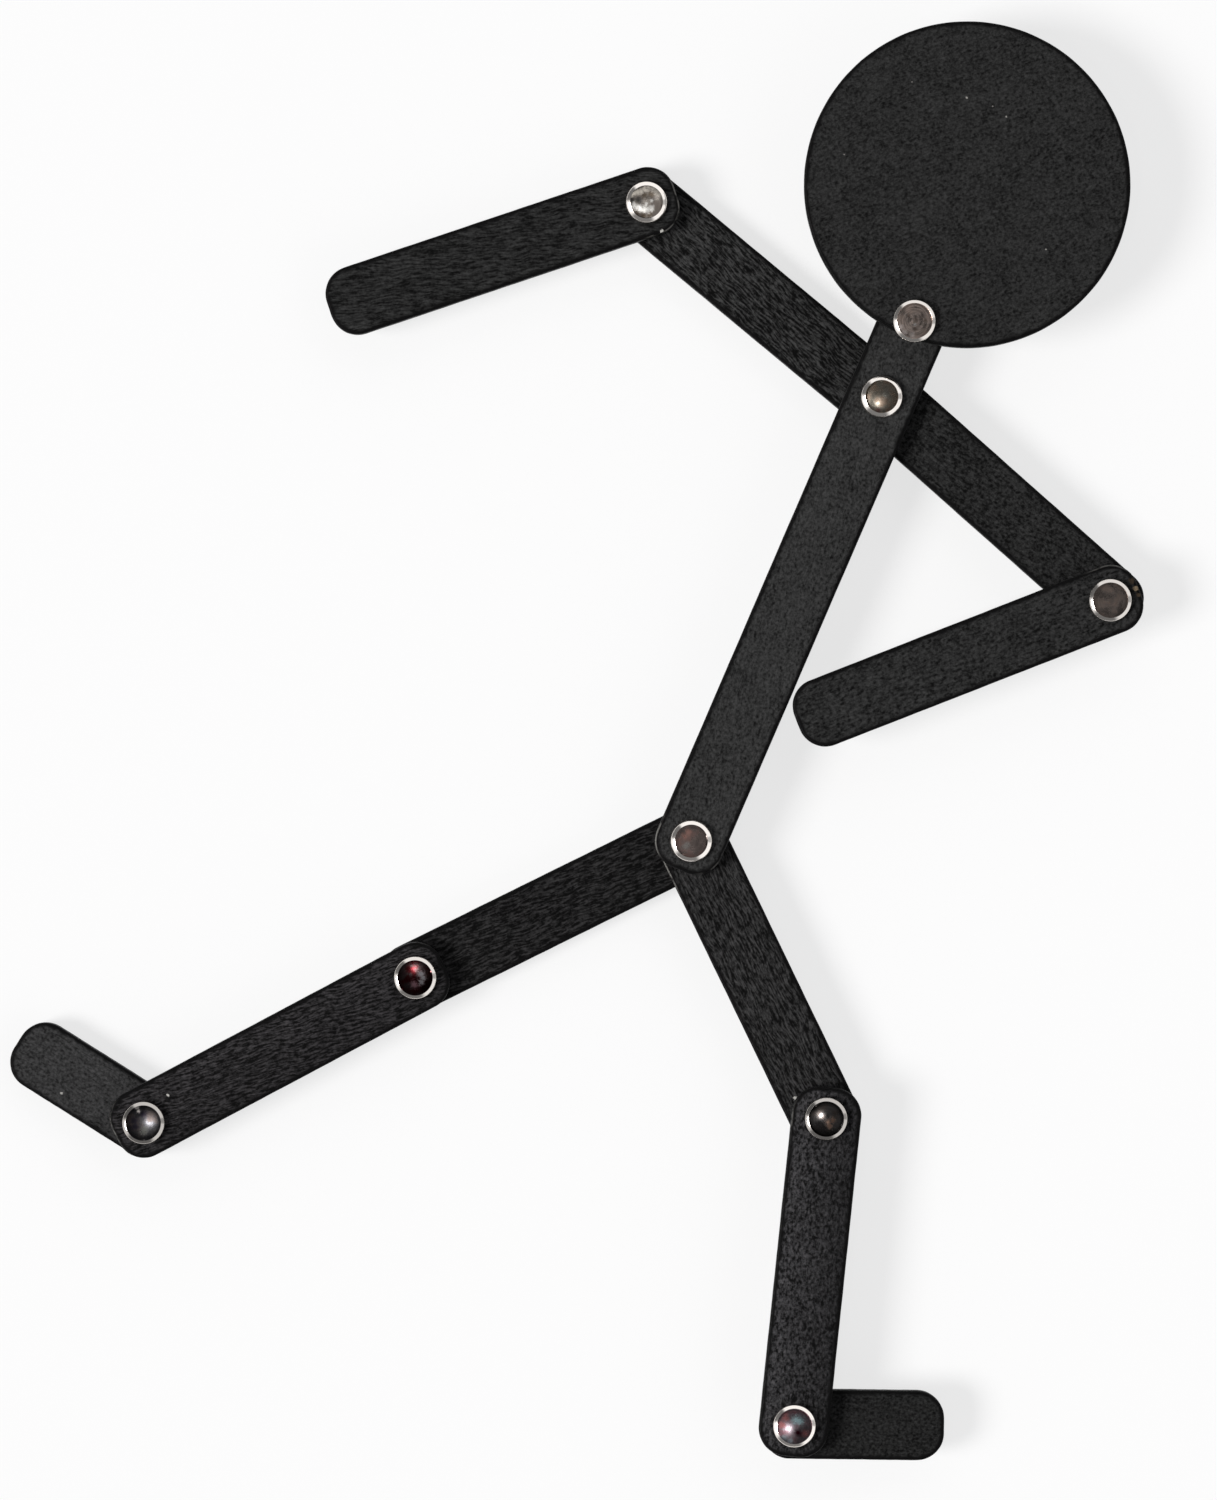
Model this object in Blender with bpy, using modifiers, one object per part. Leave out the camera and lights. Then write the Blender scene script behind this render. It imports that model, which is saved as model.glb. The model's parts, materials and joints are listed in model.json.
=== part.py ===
"""Jointed wooden stick figure: a round head and flat strips, held together by two-part rivets.

The figure lies on its back, +Z up, in a running pose.  Its strips lie in four layers, and every
joint is a rivet whose axis is vertical, so each limb swings in its own layer above or below its
neighbours.  Left and right are the sides on which a viewer looking down sees them.
"""

import math

import bmesh
import bpy
from mathutils import Matrix, Vector

MM = 0.001

# Wooden pieces
STRIP_WIDTH = 13.0 * MM
WOOD_THICKNESS = 3.0 * MM
END_MARGIN = 5.9 * MM
END_CORNER_RADIUS = 5.2 * MM
EASED_EDGE = 0.45 * MM
ARM_HOLE_SPACING = 56.6 * MM
LEG_HOLE_SPACING = 57.1 * MM
FOREARM_REACH = 62.2 * MM
FOOT_REACH = 28.0 * MM
NECK_TO_HIP = 104.4 * MM
NECK_TO_SHOULDER = 15.0 * MM
HEAD_DIAMETER = 60.5 * MM
NECK_HOLE_INSET = 3.15 * MM

# Rivets: a head on a solid post, pressed into a back cap with a hollow shank
RIVET_HEAD_DIAMETER = 8.0 * MM
RIVET_HEAD_HEIGHT = 1.15 * MM
RIM_RADIUS = 0.7 * MM
DISH_DEPTH = 0.25 * MM
DISH_WALL = 0.45 * MM
CAP_HEIGHT = 1.3 * MM
CAP_EDGE_RADIUS = 0.55 * MM
POST_DIAMETER = 1.6 * MM
POST_TIP_CHAMFER = 0.2 * MM
SHANK_WALL = 0.4 * MM
CAP_FLOOR = 0.5 * MM

# Clearances
FACE_GAP = 0.3 * MM
POST_CLEARANCE = 0.3 * MM
HOLE_CLEARANCE = 0.3 * MM
TOUCH_GAP = 0.4 * MM

# Running pose: the torso's direction from +X, then each piece's turn from the one that carries it
TORSO_DIRECTION = math.radians(66.8)
NECK_BEND = math.radians(2.0)
LEFT_SHOULDER_BEND = math.radians(73.4)
LEFT_ELBOW_BEND = math.radians(58.3)
RIGHT_SHOULDER_BEND = math.radians(-108.5)
RIGHT_ELBOW_FREE_BEND = math.radians(-117.2)
LEFT_HIP_BEND = math.radians(139.6)
LEFT_KNEE_BEND = math.radians(1.7)
LEFT_ANKLE_BEND = math.radians(-60.5)
RIGHT_HIP_BEND = math.radians(-130.9)
RIGHT_KNEE_BEND = math.radians(-31.8)
RIGHT_ANKLE_BEND = math.radians(94.9)

# Fineness of round shapes
CORNER_STEPS = 5
DISC_STEPS = 64
RIVET_STEPS = 24
EASE_STEPS = 2
RIM_STEPS = 3
WELD_DISTANCE = 0.005 * MM
FLAT_ANGLE = math.radians(1.0)
SMOOTH_ANGLE = math.radians(35.0)
EASED_ANGLE = math.radians(60.0)
ARC_HANDLE = 4.0 / 3.0 * math.tan(math.pi / 8.0)

# Finishes: colour and roughness
WOOD_COLOUR = (0.021, 0.021, 0.023)
WOOD_ROUGHNESS = 0.62
METAL_COLOUR = (0.50, 0.47, 0.43)
METAL_ROUGHNESS = 0.28

# Layer of each wooden piece, counted from the bottom
LAYERS = {
    "left_thigh": 0,
    "left_foot": 0,
    "left_upper_arm": 0,
    "right_thigh": 1,
    "left_shin": 1,
    "right_foot": 1,
    "right_upper_arm": 1,
    "left_forearm": 1,
    "torso": 2,
    "right_shin": 2,
    "right_forearm": 2,
    "head": 3,
}
LAYER_PITCH = WOOD_THICKNESS + FACE_GAP

SHANK_INNER_RADIUS = POST_DIAMETER / 2 + POST_CLEARANCE
SHANK_OUTER_RADIUS = SHANK_INNER_RADIUS + SHANK_WALL
HOLE_RADIUS = SHANK_OUTER_RADIUS + HOLE_CLEARANCE

FIGURE_NAME = "stick_figure"
CUTTERS_NAME = "hole_cutters"


def clear_scene():
    """Remove every object that the scene starts with."""
    for old in list(bpy.data.objects):
        bpy.data.objects.remove(old, do_unlink=True)


def new_collection(name):
    """Add a collection to the scene."""
    collection = bpy.data.collections.new(name)
    bpy.context.scene.collection.children.link(collection)
    return collection


def new_material(name, colour, roughness, metallic):
    """Make a Principled material of one colour."""
    material = bpy.data.materials.new(name)
    material.use_nodes = True
    shader = material.node_tree.nodes["Principled BSDF"]
    shader.inputs["Base Color"].default_value = (*colour, 1.0)
    shader.inputs["Roughness"].default_value = roughness
    shader.inputs["Metallic"].default_value = metallic
    material.diffuse_color = (*colour, 1.0)
    return material


def layer_floor(layer):
    """Height of a layer's underside, above the faces of the lowest back caps."""
    return CAP_HEIGHT + FACE_GAP + layer * LAYER_PITCH


def place(child, parent, along, turn, height):
    """Carry a piece on its parent, turned about an upright axis at a distance along the parent."""
    child.parent = parent
    child.location = (along, 0.0, height)
    child.rotation_euler = (0.0, 0.0, turn)


def rounded_strip_curve(name, back, front):
    """Flat outline of a strip from back behind its origin to front ahead of it, with round corners."""
    half = STRIP_WIDTH / 2
    radius = min(END_CORNER_RADIUS, half)
    handle = radius * ARC_HANDLE
    corners = [(front, half), (-back, half), (-back, -half), (front, -half)]
    heading = [Vector((0.0, 1.0)), Vector((-1.0, 0.0)), Vector((0.0, -1.0)), Vector((1.0, 0.0))]
    curve = bpy.data.curves.new(name, "CURVE")
    curve.dimensions = "2D"
    curve.fill_mode = "BOTH"
    curve.extrude = WOOD_THICKNESS / 2
    curve.resolution_u = CORNER_STEPS
    curve.render_resolution_u = CORNER_STEPS
    spline = curve.splines.new("BEZIER")
    spline.bezier_points.add(2 * len(corners) - 1)
    spline.use_cyclic_u = True
    for index, corner in enumerate(corners):
        arriving = heading[index]
        leaving = heading[(index + 1) % len(corners)]
        start = Vector(corner) - radius * arriving
        end = Vector(corner) + radius * leaving
        first = spline.bezier_points[2 * index]
        second = spline.bezier_points[2 * index + 1]
        first.co = (*start, 0.0)
        first.handle_left_type = "VECTOR"
        first.handle_right_type = "FREE"
        first.handle_right = (*(start + handle * arriving), 0.0)
        second.co = (*end, 0.0)
        second.handle_left_type = "FREE"
        second.handle_left = (*(end - handle * leaving), 0.0)
        second.handle_right_type = "VECTOR"
    return curve


def plate_mesh_from_curve(curve):
    """Turn a flat filled outline into a welded plate whose underside is at height 0."""
    flat = bpy.data.objects.new(curve.name, curve)
    bpy.context.scene.collection.objects.link(flat)
    evaluated = flat.evaluated_get(bpy.context.evaluated_depsgraph_get())
    mesh = bpy.data.meshes.new_from_object(evaluated)
    bpy.data.objects.remove(flat, do_unlink=True)
    shape = bmesh.new()
    shape.from_mesh(mesh)
    bmesh.ops.remove_doubles(shape, verts=shape.verts, dist=WELD_DISTANCE)
    bmesh.ops.dissolve_limit(shape, angle_limit=FLAT_ANGLE, verts=shape.verts, edges=shape.edges)
    bmesh.ops.translate(shape, verts=shape.verts, vec=(0.0, 0.0, WOOD_THICKNESS / 2))
    bmesh.ops.recalc_face_normals(shape, faces=shape.faces)
    shape.to_mesh(mesh)
    shape.free()
    return mesh


def disc_mesh(name, radius, centre_along):
    """Round plate with its underside at height 0 and its centre at a distance along X."""
    mesh = bpy.data.meshes.new(name)
    shape = bmesh.new()
    middle = Matrix.Translation((centre_along, 0.0, WOOD_THICKNESS / 2))
    bmesh.ops.create_cone(
        shape,
        cap_ends=True,
        segments=DISC_STEPS,
        radius1=radius,
        radius2=radius,
        depth=WOOD_THICKNESS,
        matrix=middle,
    )
    shape.to_mesh(mesh)
    shape.free()
    return mesh


def hole_cutter(piece, holes, cutters):
    """Round cutters through a piece, at distances along it, carried by the piece."""
    mesh = bpy.data.meshes.new(piece.name + "_holes")
    shape = bmesh.new()
    for along in holes:
        middle = Matrix.Translation((along, 0.0, WOOD_THICKNESS / 2))
        bmesh.ops.create_cone(
            shape,
            cap_ends=True,
            segments=RIVET_STEPS,
            radius1=HOLE_RADIUS,
            radius2=HOLE_RADIUS,
            depth=2 * WOOD_THICKNESS,
            matrix=middle,
        )
    shape.to_mesh(mesh)
    shape.free()
    cutter = bpy.data.objects.new(mesh.name, mesh)
    cutter.parent = piece
    cutter.hide_render = True
    cutter.display_type = "WIRE"
    cutters.objects.link(cutter)
    return cutter


def shade_round(mesh):
    """Shade a mesh smooth, but for its sharp edges."""
    mesh.shade_smooth()
    mesh.set_sharp_from_angle(angle=SMOOTH_ANGLE)


def wooden_piece(name, mesh, holes, material, figure, cutters):
    """Finish a wooden plate: eased edges all round, then its rivet holes."""
    mesh.materials.clear()
    mesh.materials.append(material)
    shade_round(mesh)
    piece = bpy.data.objects.new(name, mesh)
    figure.objects.link(piece)
    ease = piece.modifiers.new("eased_edges", "BEVEL")
    ease.width = EASED_EDGE
    ease.segments = EASE_STEPS
    ease.limit_method = "ANGLE"
    ease.angle_limit = EASED_ANGLE
    cut = piece.modifiers.new("rivet_holes", "BOOLEAN")
    cut.operation = "DIFFERENCE"
    cut.solver = "EXACT"
    cut.object = hole_cutter(piece, holes, cutters)
    return piece


def turned_piece(name, profile, material, figure):
    """Turn a profile of (radius, height) points, listed top to bottom, about the upright axis."""
    mesh = bpy.data.meshes.new(name)
    points = [(radius, 0.0, height) for radius, height in profile]
    edges = [(index, index + 1) for index in range(len(points) - 1)]
    mesh.from_pydata(points, edges, [])
    mesh.materials.append(material)
    piece = bpy.data.objects.new(name, mesh)
    figure.objects.link(piece)
    turn = piece.modifiers.new("turned", "SCREW")
    turn.axis = "Z"
    turn.angle = 2 * math.pi
    turn.steps = RIVET_STEPS
    turn.render_steps = RIVET_STEPS
    turn.use_merge_vertices = True
    turn.merge_threshold = WELD_DISTANCE
    turn.use_smooth_shade = True
    return piece


def arc(centre, radius, start, stop, steps):
    """Points of a circular arc from one angle to another, in degrees."""
    angles = [math.radians(start + (stop - start) * step / steps) for step in range(steps + 1)]
    return [(centre[0] + radius * math.cos(a), centre[1] + radius * math.sin(a)) for a in angles]


def rivet_head_profile(post_length):
    """Dished head with a rounded rim, on a solid post; height 0 is the head's underside."""
    outer = RIVET_HEAD_DIAMETER / 2
    post = POST_DIAMETER / 2
    crest = outer - RIM_RADIUS
    return [
        (0.0, RIVET_HEAD_HEIGHT - DISH_DEPTH),
        (crest - DISH_WALL, RIVET_HEAD_HEIGHT - DISH_DEPTH),
        *arc((crest, RIVET_HEAD_HEIGHT - RIM_RADIUS), RIM_RADIUS, 90.0, 0.0, RIM_STEPS),
        (outer, 0.0),
        (post, 0.0),
        (post, POST_TIP_CHAMFER - post_length),
        (post - POST_TIP_CHAMFER, -post_length),
        (0.0, -post_length),
    ]


def rivet_cap_profile(shank_length):
    """Flat cap with a rounded edge under a hollow shank; height 0 is the cap's upper face."""
    outer = RIVET_HEAD_DIAMETER / 2
    edge_centre = (outer - CAP_EDGE_RADIUS, CAP_EDGE_RADIUS - CAP_HEIGHT)
    return [
        (0.0, CAP_FLOOR - CAP_HEIGHT),
        (SHANK_INNER_RADIUS, CAP_FLOOR - CAP_HEIGHT),
        (SHANK_INNER_RADIUS, shank_length),
        (SHANK_OUTER_RADIUS, shank_length),
        (SHANK_OUTER_RADIUS, 0.0),
        (outer, 0.0),
        *arc(edge_centre, CAP_EDGE_RADIUS, 0.0, -90.0, RIM_STEPS),
        (0.0, -CAP_HEIGHT),
    ]


def add_rivet(joint, carrier, along, layers, metal, figure):
    """Rivet two or more layers together at a distance along the piece that carries the rivet."""
    lowest = min(layers)
    highest = max(layers)
    carrier_floor = layer_floor(LAYERS[carrier.name])
    cap_top = layer_floor(lowest) - FACE_GAP
    head_floor = layer_floor(highest) + WOOD_THICKNESS + FACE_GAP
    stack = head_floor - cap_top
    shank_length = stack - FACE_GAP
    post_length = stack + CAP_HEIGHT - CAP_FLOOR - POST_CLEARANCE
    head = turned_piece(joint + "_rivet", rivet_head_profile(post_length), metal, figure)
    cap = turned_piece(joint + "_rivet_cap", rivet_cap_profile(shank_length), metal, figure)
    place(head, carrier, along, 0.0, head_floor - carrier_floor)
    place(cap, carrier, along, 0.0, cap_top - carrier_floor)


def right_elbow_bend():
    """Turn at the right elbow that lays the forearm's end corner against the torso's edge.

    The elbow lies at a known distance from the torso's right edge.  The forearm's end corner is an
    arc whose centre is a fixed reach and offset from the elbow, so the direction in which that arc
    just clears the edge follows from its cosine.  A forearm too short to touch keeps its free bend.
    """
    across = ARM_HOLE_SPACING * math.sin(-RIGHT_SHOULDER_BEND) - STRIP_WIDTH / 2
    radius = min(END_CORNER_RADIUS, STRIP_WIDTH / 2)
    reach = FOREARM_REACH - radius
    offset = STRIP_WIDTH / 2 - radius
    room = across - radius - TOUCH_GAP
    span = math.hypot(reach, offset)
    if room >= span:
        return RIGHT_ELBOW_FREE_BEND
    towards_torso = math.pi / 2
    from_square = math.atan2(offset, reach) + math.acos(room / span)
    return towards_torso + from_square - RIGHT_SHOULDER_BEND - 2 * math.pi


def centre_on_origin(root, figure):
    """Move the figure sideways so that the middle of its outline's box is at the origin."""
    bpy.context.view_layer.update()
    depsgraph = bpy.context.evaluated_depsgraph_get()
    points = []
    for piece in figure.objects:
        if piece.type == "MESH":
            evaluated = piece.evaluated_get(depsgraph)
            points.extend(evaluated.matrix_world @ vertex.co for vertex in evaluated.data.vertices)
    for axis in (0, 1):
        reaches = [point[axis] for point in points]
        root.location[axis] -= (min(reaches) + max(reaches)) / 2


def build():
    """Model the whole figure."""
    clear_scene()
    figure = new_collection(FIGURE_NAME)
    cutters = new_collection(CUTTERS_NAME)
    wood = new_material("charcoal_stained_wood", WOOD_COLOUR, WOOD_ROUGHNESS, metallic=0.0)
    metal = new_material("nickel_plated_steel", METAL_COLOUR, METAL_ROUGHNESS, metallic=1.0)

    limbs = {"upper_arm": ARM_HOLE_SPACING, "thigh": LEG_HOLE_SPACING, "shin": LEG_HOLE_SPACING}
    shoulder = NECK_TO_HIP - NECK_TO_SHOULDER
    head_radius = HEAD_DIAMETER / 2

    def strip(name, front, holes):
        mesh = plate_mesh_from_curve(rounded_strip_curve(name, END_MARGIN, front))
        return wooden_piece(name, mesh, holes, wood, figure, cutters)

    root = bpy.data.objects.new("figure_root", None)
    figure.objects.link(root)
    head_disc = disc_mesh("head", head_radius, head_radius - NECK_HOLE_INSET)
    pieces = {
        "torso": strip("torso", NECK_TO_HIP + END_MARGIN, (0.0, shoulder, NECK_TO_HIP)),
        "head": wooden_piece("head", head_disc, (0.0,), wood, figure, cutters),
    }
    for side in ("left", "right"):
        for limb, spacing in limbs.items():
            name = side + "_" + limb
            pieces[name] = strip(name, spacing + END_MARGIN, (0.0, spacing))
        pieces[side + "_forearm"] = strip(side + "_forearm", FOREARM_REACH, (0.0,))
        pieces[side + "_foot"] = strip(side + "_foot", FOOT_REACH, (0.0,))

    # Piece, the piece that carries it, how far along that piece its axis stands, and its turn there
    carried = (
        ("head", "torso", NECK_TO_HIP, NECK_BEND),
        ("left_upper_arm", "torso", shoulder, LEFT_SHOULDER_BEND),
        ("left_forearm", "left_upper_arm", ARM_HOLE_SPACING, LEFT_ELBOW_BEND),
        ("right_upper_arm", "torso", shoulder, RIGHT_SHOULDER_BEND),
        ("right_forearm", "right_upper_arm", ARM_HOLE_SPACING, right_elbow_bend()),
        ("left_thigh", "torso", 0.0, LEFT_HIP_BEND),
        ("left_shin", "left_thigh", LEG_HOLE_SPACING, LEFT_KNEE_BEND),
        ("left_foot", "left_shin", LEG_HOLE_SPACING, LEFT_ANKLE_BEND),
        ("right_thigh", "torso", 0.0, RIGHT_HIP_BEND),
        ("right_shin", "right_thigh", LEG_HOLE_SPACING, RIGHT_KNEE_BEND),
        ("right_foot", "right_shin", LEG_HOLE_SPACING, RIGHT_ANKLE_BEND),
    )
    place(pieces["torso"], root, 0.0, TORSO_DIRECTION, layer_floor(LAYERS["torso"]))
    for name, carrier, along, turn in carried:
        step = (LAYERS[name] - LAYERS[carrier]) * LAYER_PITCH
        place(pieces[name], pieces[carrier], along, turn, step)

    # Joint, the piece that carries its rivet, how far along it, and the pieces that the rivet holds
    riveted = [
        ("neck", "torso", NECK_TO_HIP, ("torso", "head")),
        ("shoulder", "torso", shoulder, ("torso", "left_upper_arm", "right_upper_arm")),
        ("hip", "torso", 0.0, ("torso", "left_thigh", "right_thigh")),
    ]
    for side in ("left_", "right_"):
        for joint, upper, lower in (
            ("elbow", "upper_arm", "forearm"),
            ("knee", "thigh", "shin"),
            ("ankle", "shin", "foot"),
        ):
            riveted.append((side + joint, side + upper, limbs[upper], (side + upper, side + lower)))
    for joint, carrier, along, held in riveted:
        add_rivet(joint, pieces[carrier], along, [LAYERS[name] for name in held], metal, figure)

    centre_on_origin(root, figure)


build()
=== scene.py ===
"""Dresses the jointed stick figure: stained wooden strips, a round wooden head and two-part rivets.

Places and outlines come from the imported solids, in metres. The figure lies on its back in the XY plane.
"""

import json
import logging
import math
from collections.abc import Callable, Sequence
from dataclasses import dataclass, field
from enum import Enum

import bmesh
import bpy
import numpy as np
from bpy.types import Material, Mesh, Node, NodeSocket, NodeTree, Object, World
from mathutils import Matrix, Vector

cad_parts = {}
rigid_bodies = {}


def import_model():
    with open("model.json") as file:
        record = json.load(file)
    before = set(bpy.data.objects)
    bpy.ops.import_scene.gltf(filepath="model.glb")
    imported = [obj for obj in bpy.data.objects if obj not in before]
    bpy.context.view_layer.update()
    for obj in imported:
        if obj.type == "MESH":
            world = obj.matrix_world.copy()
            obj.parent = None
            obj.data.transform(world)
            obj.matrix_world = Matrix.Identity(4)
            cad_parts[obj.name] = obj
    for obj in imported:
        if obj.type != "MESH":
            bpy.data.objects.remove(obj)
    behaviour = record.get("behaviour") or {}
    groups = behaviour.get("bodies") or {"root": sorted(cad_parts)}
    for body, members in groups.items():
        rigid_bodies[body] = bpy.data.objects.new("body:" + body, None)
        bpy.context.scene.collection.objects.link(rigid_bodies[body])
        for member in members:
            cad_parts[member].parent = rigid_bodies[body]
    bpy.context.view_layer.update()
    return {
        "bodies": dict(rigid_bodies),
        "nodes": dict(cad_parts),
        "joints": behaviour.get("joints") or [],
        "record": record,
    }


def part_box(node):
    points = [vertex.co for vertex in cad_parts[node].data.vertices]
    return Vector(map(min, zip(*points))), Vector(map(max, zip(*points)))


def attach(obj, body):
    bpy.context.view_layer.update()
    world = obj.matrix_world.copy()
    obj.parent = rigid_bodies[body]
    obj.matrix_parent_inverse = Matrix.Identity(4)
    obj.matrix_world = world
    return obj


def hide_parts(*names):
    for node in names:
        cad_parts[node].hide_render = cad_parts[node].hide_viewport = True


LOG = logging.getLogger("stick_figure")

Array = np.ndarray
Colour = tuple[float, float, float]
Spot = tuple[float, float]
Feed = NodeSocket | float | tuple | Array
Profile = Callable[[float, float], tuple[Array, Array]]

MM = 0.001
FULL_TURN = 2 * np.pi
MERGE_REACH = 0.0005 * MM
FLAT_REACH = 0.0002 * MM

# Names of the values that the meshes keep for the materials
GRAIN_PLACE = "grain_place"
RIM_DISTANCE = "rim_distance"
EDGE_WEAR_AND_HIGHLIGHT = "edge_wear_and_highlight"
TONE_DRIFT = "tone_drift"
TURNED_PLACE = "turned_place"

# Span that holds most of a noise's values
NOISE_SPAN = (0.3, 0.7)

# Tones of dust, from plain to dim
DUST = (0.5, 0.49, 0.46)
FAINT_DUST = (0.3, 0.29, 0.27)
DIM_DUST = (0.2, 0.19, 0.18)


# Meshes from arrays

def way_round(points: int) -> Array:
    """Gives the angles of evenly spaced points round a full turn."""
    return np.linspace(0, FULL_TURN, points, endpoint=False)


def towards(angle: Array) -> Array:
    """Gives the direction seen from above at each angle."""
    return np.stack([np.cos(angle), np.sin(angle)], axis=-1)


def quarter_turn(direction: Array) -> Array:
    """Turns a direction seen from above by a quarter turn."""
    return np.array([-direction[1], direction[0]])


def turn_round(centre: Array, radius: Array, height: Array, points: int) -> Array:
    """Turns a profile round an upright axis: each point is the axis moved out by the profile's radius.

    Args:
        centre: The axis seen from above.
        radius: The profile's radii.
        height: The profile's heights, as rows or as columns by rows.
        points: Number of points round the axis.

    Returns:
        Places, as columns round the axis by rows of the profile by three.
    """
    out = towards(way_round(points))[:, None, :] * radius[:, None]
    rise = np.broadcast_to(height, out.shape[:2])
    return np.concatenate([centre + out, rise[..., None]], axis=-1)


def grid_faces(columns: int, rows: int) -> Array:
    """Gives the quads of a grid that closes on itself across its columns.

    Args:
        columns: Number of points round the closed direction.
        rows: Number of points along the open direction.

    Returns:
        One row of four point numbers for each quad.
    """
    column, row = np.meshgrid(np.arange(columns), np.arange(rows - 1), indexing="ij")
    here = column * rows + row
    beside = (column + 1) % columns * rows + row
    return np.stack([here, beside, beside + 1, here + 1], axis=-1).reshape(-1, 4)


def closed_mesh(name: str, points: Array) -> Mesh:
    """Makes a closed mesh of a grid whose first and last rows fall together in a pole or a seam.

    Args:
        name: Name of the mesh.
        points: Places, as columns by rows by three.

    Returns:
        The mesh, merged at its poles and seams, with its faces outwards.
    """
    columns, rows = points.shape[:2]
    mesh = bpy.data.meshes.new(name)
    mesh.from_pydata(points.reshape(-1, 3).tolist(), [], grid_faces(columns, rows).tolist())
    merge_and_face_outwards(mesh)
    return mesh


def merge_and_face_outwards(mesh: Mesh) -> None:
    """Merges the points that lie together, drops what they flatten and turns the faces outwards.

    Args:
        mesh: The mesh to mend in place.
    """
    cells = bmesh.new()
    cells.from_mesh(mesh)
    bmesh.ops.remove_doubles(cells, verts=cells.verts, dist=MERGE_REACH)
    bmesh.ops.dissolve_degenerate(cells, edges=cells.edges, dist=FLAT_REACH)
    bmesh.ops.recalc_face_normals(cells, faces=cells.faces)
    cells.to_mesh(mesh)
    cells.free()
    mesh.validate()


def mesh_points(mesh: Mesh) -> Array:
    """Reads a mesh's points.

    Args:
        mesh: The mesh.

    Returns:
        One row of three for each point.
    """
    places = np.empty(len(mesh.vertices) * 3, np.float32)
    mesh.vertices.foreach_get("co", places)
    return places.reshape(-1, 3).astype(float)


def store_attribute(mesh: Mesh, name: str, values: Array) -> None:
    """Keeps one number or one vector for each point of a mesh, for the materials to read.

    Args:
        mesh: The mesh that gets the attribute.
        name: Name of the attribute.
        values: One value a point, or three.
    """
    kind, entry = ("FLOAT", "value") if values.ndim == 1 else ("FLOAT_VECTOR", "vector")
    attribute = mesh.attributes.new(name, kind, "POINT")
    attribute.data.foreach_set(entry, values.astype(np.float32).ravel())


def put_in_scene(name: str, data: bpy.types.ID) -> Object:
    """Makes an object and puts it in the scene.

    Args:
        name: Name of the object.
        data: Its mesh, lamp or camera.

    Returns:
        The object, at the origin.
    """
    made = bpy.data.objects.new(name, data)
    bpy.context.scene.collection.objects.link(made)
    return made


def show(name: str, mesh: Mesh, node: str, body: str, sharp_bend: float) -> Object:
    """Shows a mesh in place of a solid, smooth except across edges that bend more than an angle.

    Args:
        name: Name of the piece.
        mesh: Its mesh, already in place.
        node: The solid that it stands for.
        body: The body that it rides on.
        sharp_bend: Bend in degrees from which an edge stays sharp.

    Returns:
        The piece, at the origin.
    """
    mesh.shade_smooth()
    mesh.set_sharp_from_angle(angle=math.radians(sharp_bend))
    piece = put_in_scene(name, mesh)
    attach(piece, body)
    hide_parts(node)
    return piece


def soft_waves(angle: Array, counts: tuple[int, ...], seed: int) -> Array:
    """Gives an uneven run round a closed outline, between 0 and 1.

    The run is the mean of sine waves, each with a whole number of turns and a phase drawn from the seed.

    Args:
        angle: Way round the outline, from 0 to a full turn.
        counts: Number of waves in each sine.
        seed: Number that settles the phases.

    Returns:
        One value for each angle.
    """
    phases = np.random.default_rng(seed).uniform(0, FULL_TURN, len(counts))
    waves = np.sin(np.outer(angle, counts) + phases)
    return 0.5 + 0.5 * waves.mean(axis=1)


# Shader nodes

class Noise(Enum):
    """The noises in the finishes: scale, detail and roughness."""

    GRAIN_SWAY = (0.16, 1.0, 0.5)
    GRAIN_STROKES = (1.0, 3.0, 0.62)
    GRAIN_BANDS = (0.21, 2.0, 0.55)
    GRAIN_SPECKS = (1.8, 3.0, 0.65)
    GRAIN_CLOUDS = (0.13, 2.0, 0.5)
    GRAIN_PORES = (1.0, 2.0, 0.55)
    EDGE_WIDTH = (0.9, 2.0, 0.5)
    EDGE_BREAKS = (0.55, 3.0, 0.5)
    FLECK_OUTLINE = (3.0, 1.0, 0.5)
    LATHE_RINGS = (1.0, 2.0, 0.5)
    SCRATCHES = (1.6, 3.0, 0.7)
    METAL_CLOUDS = (0.5, 3.0, 0.6)


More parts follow.
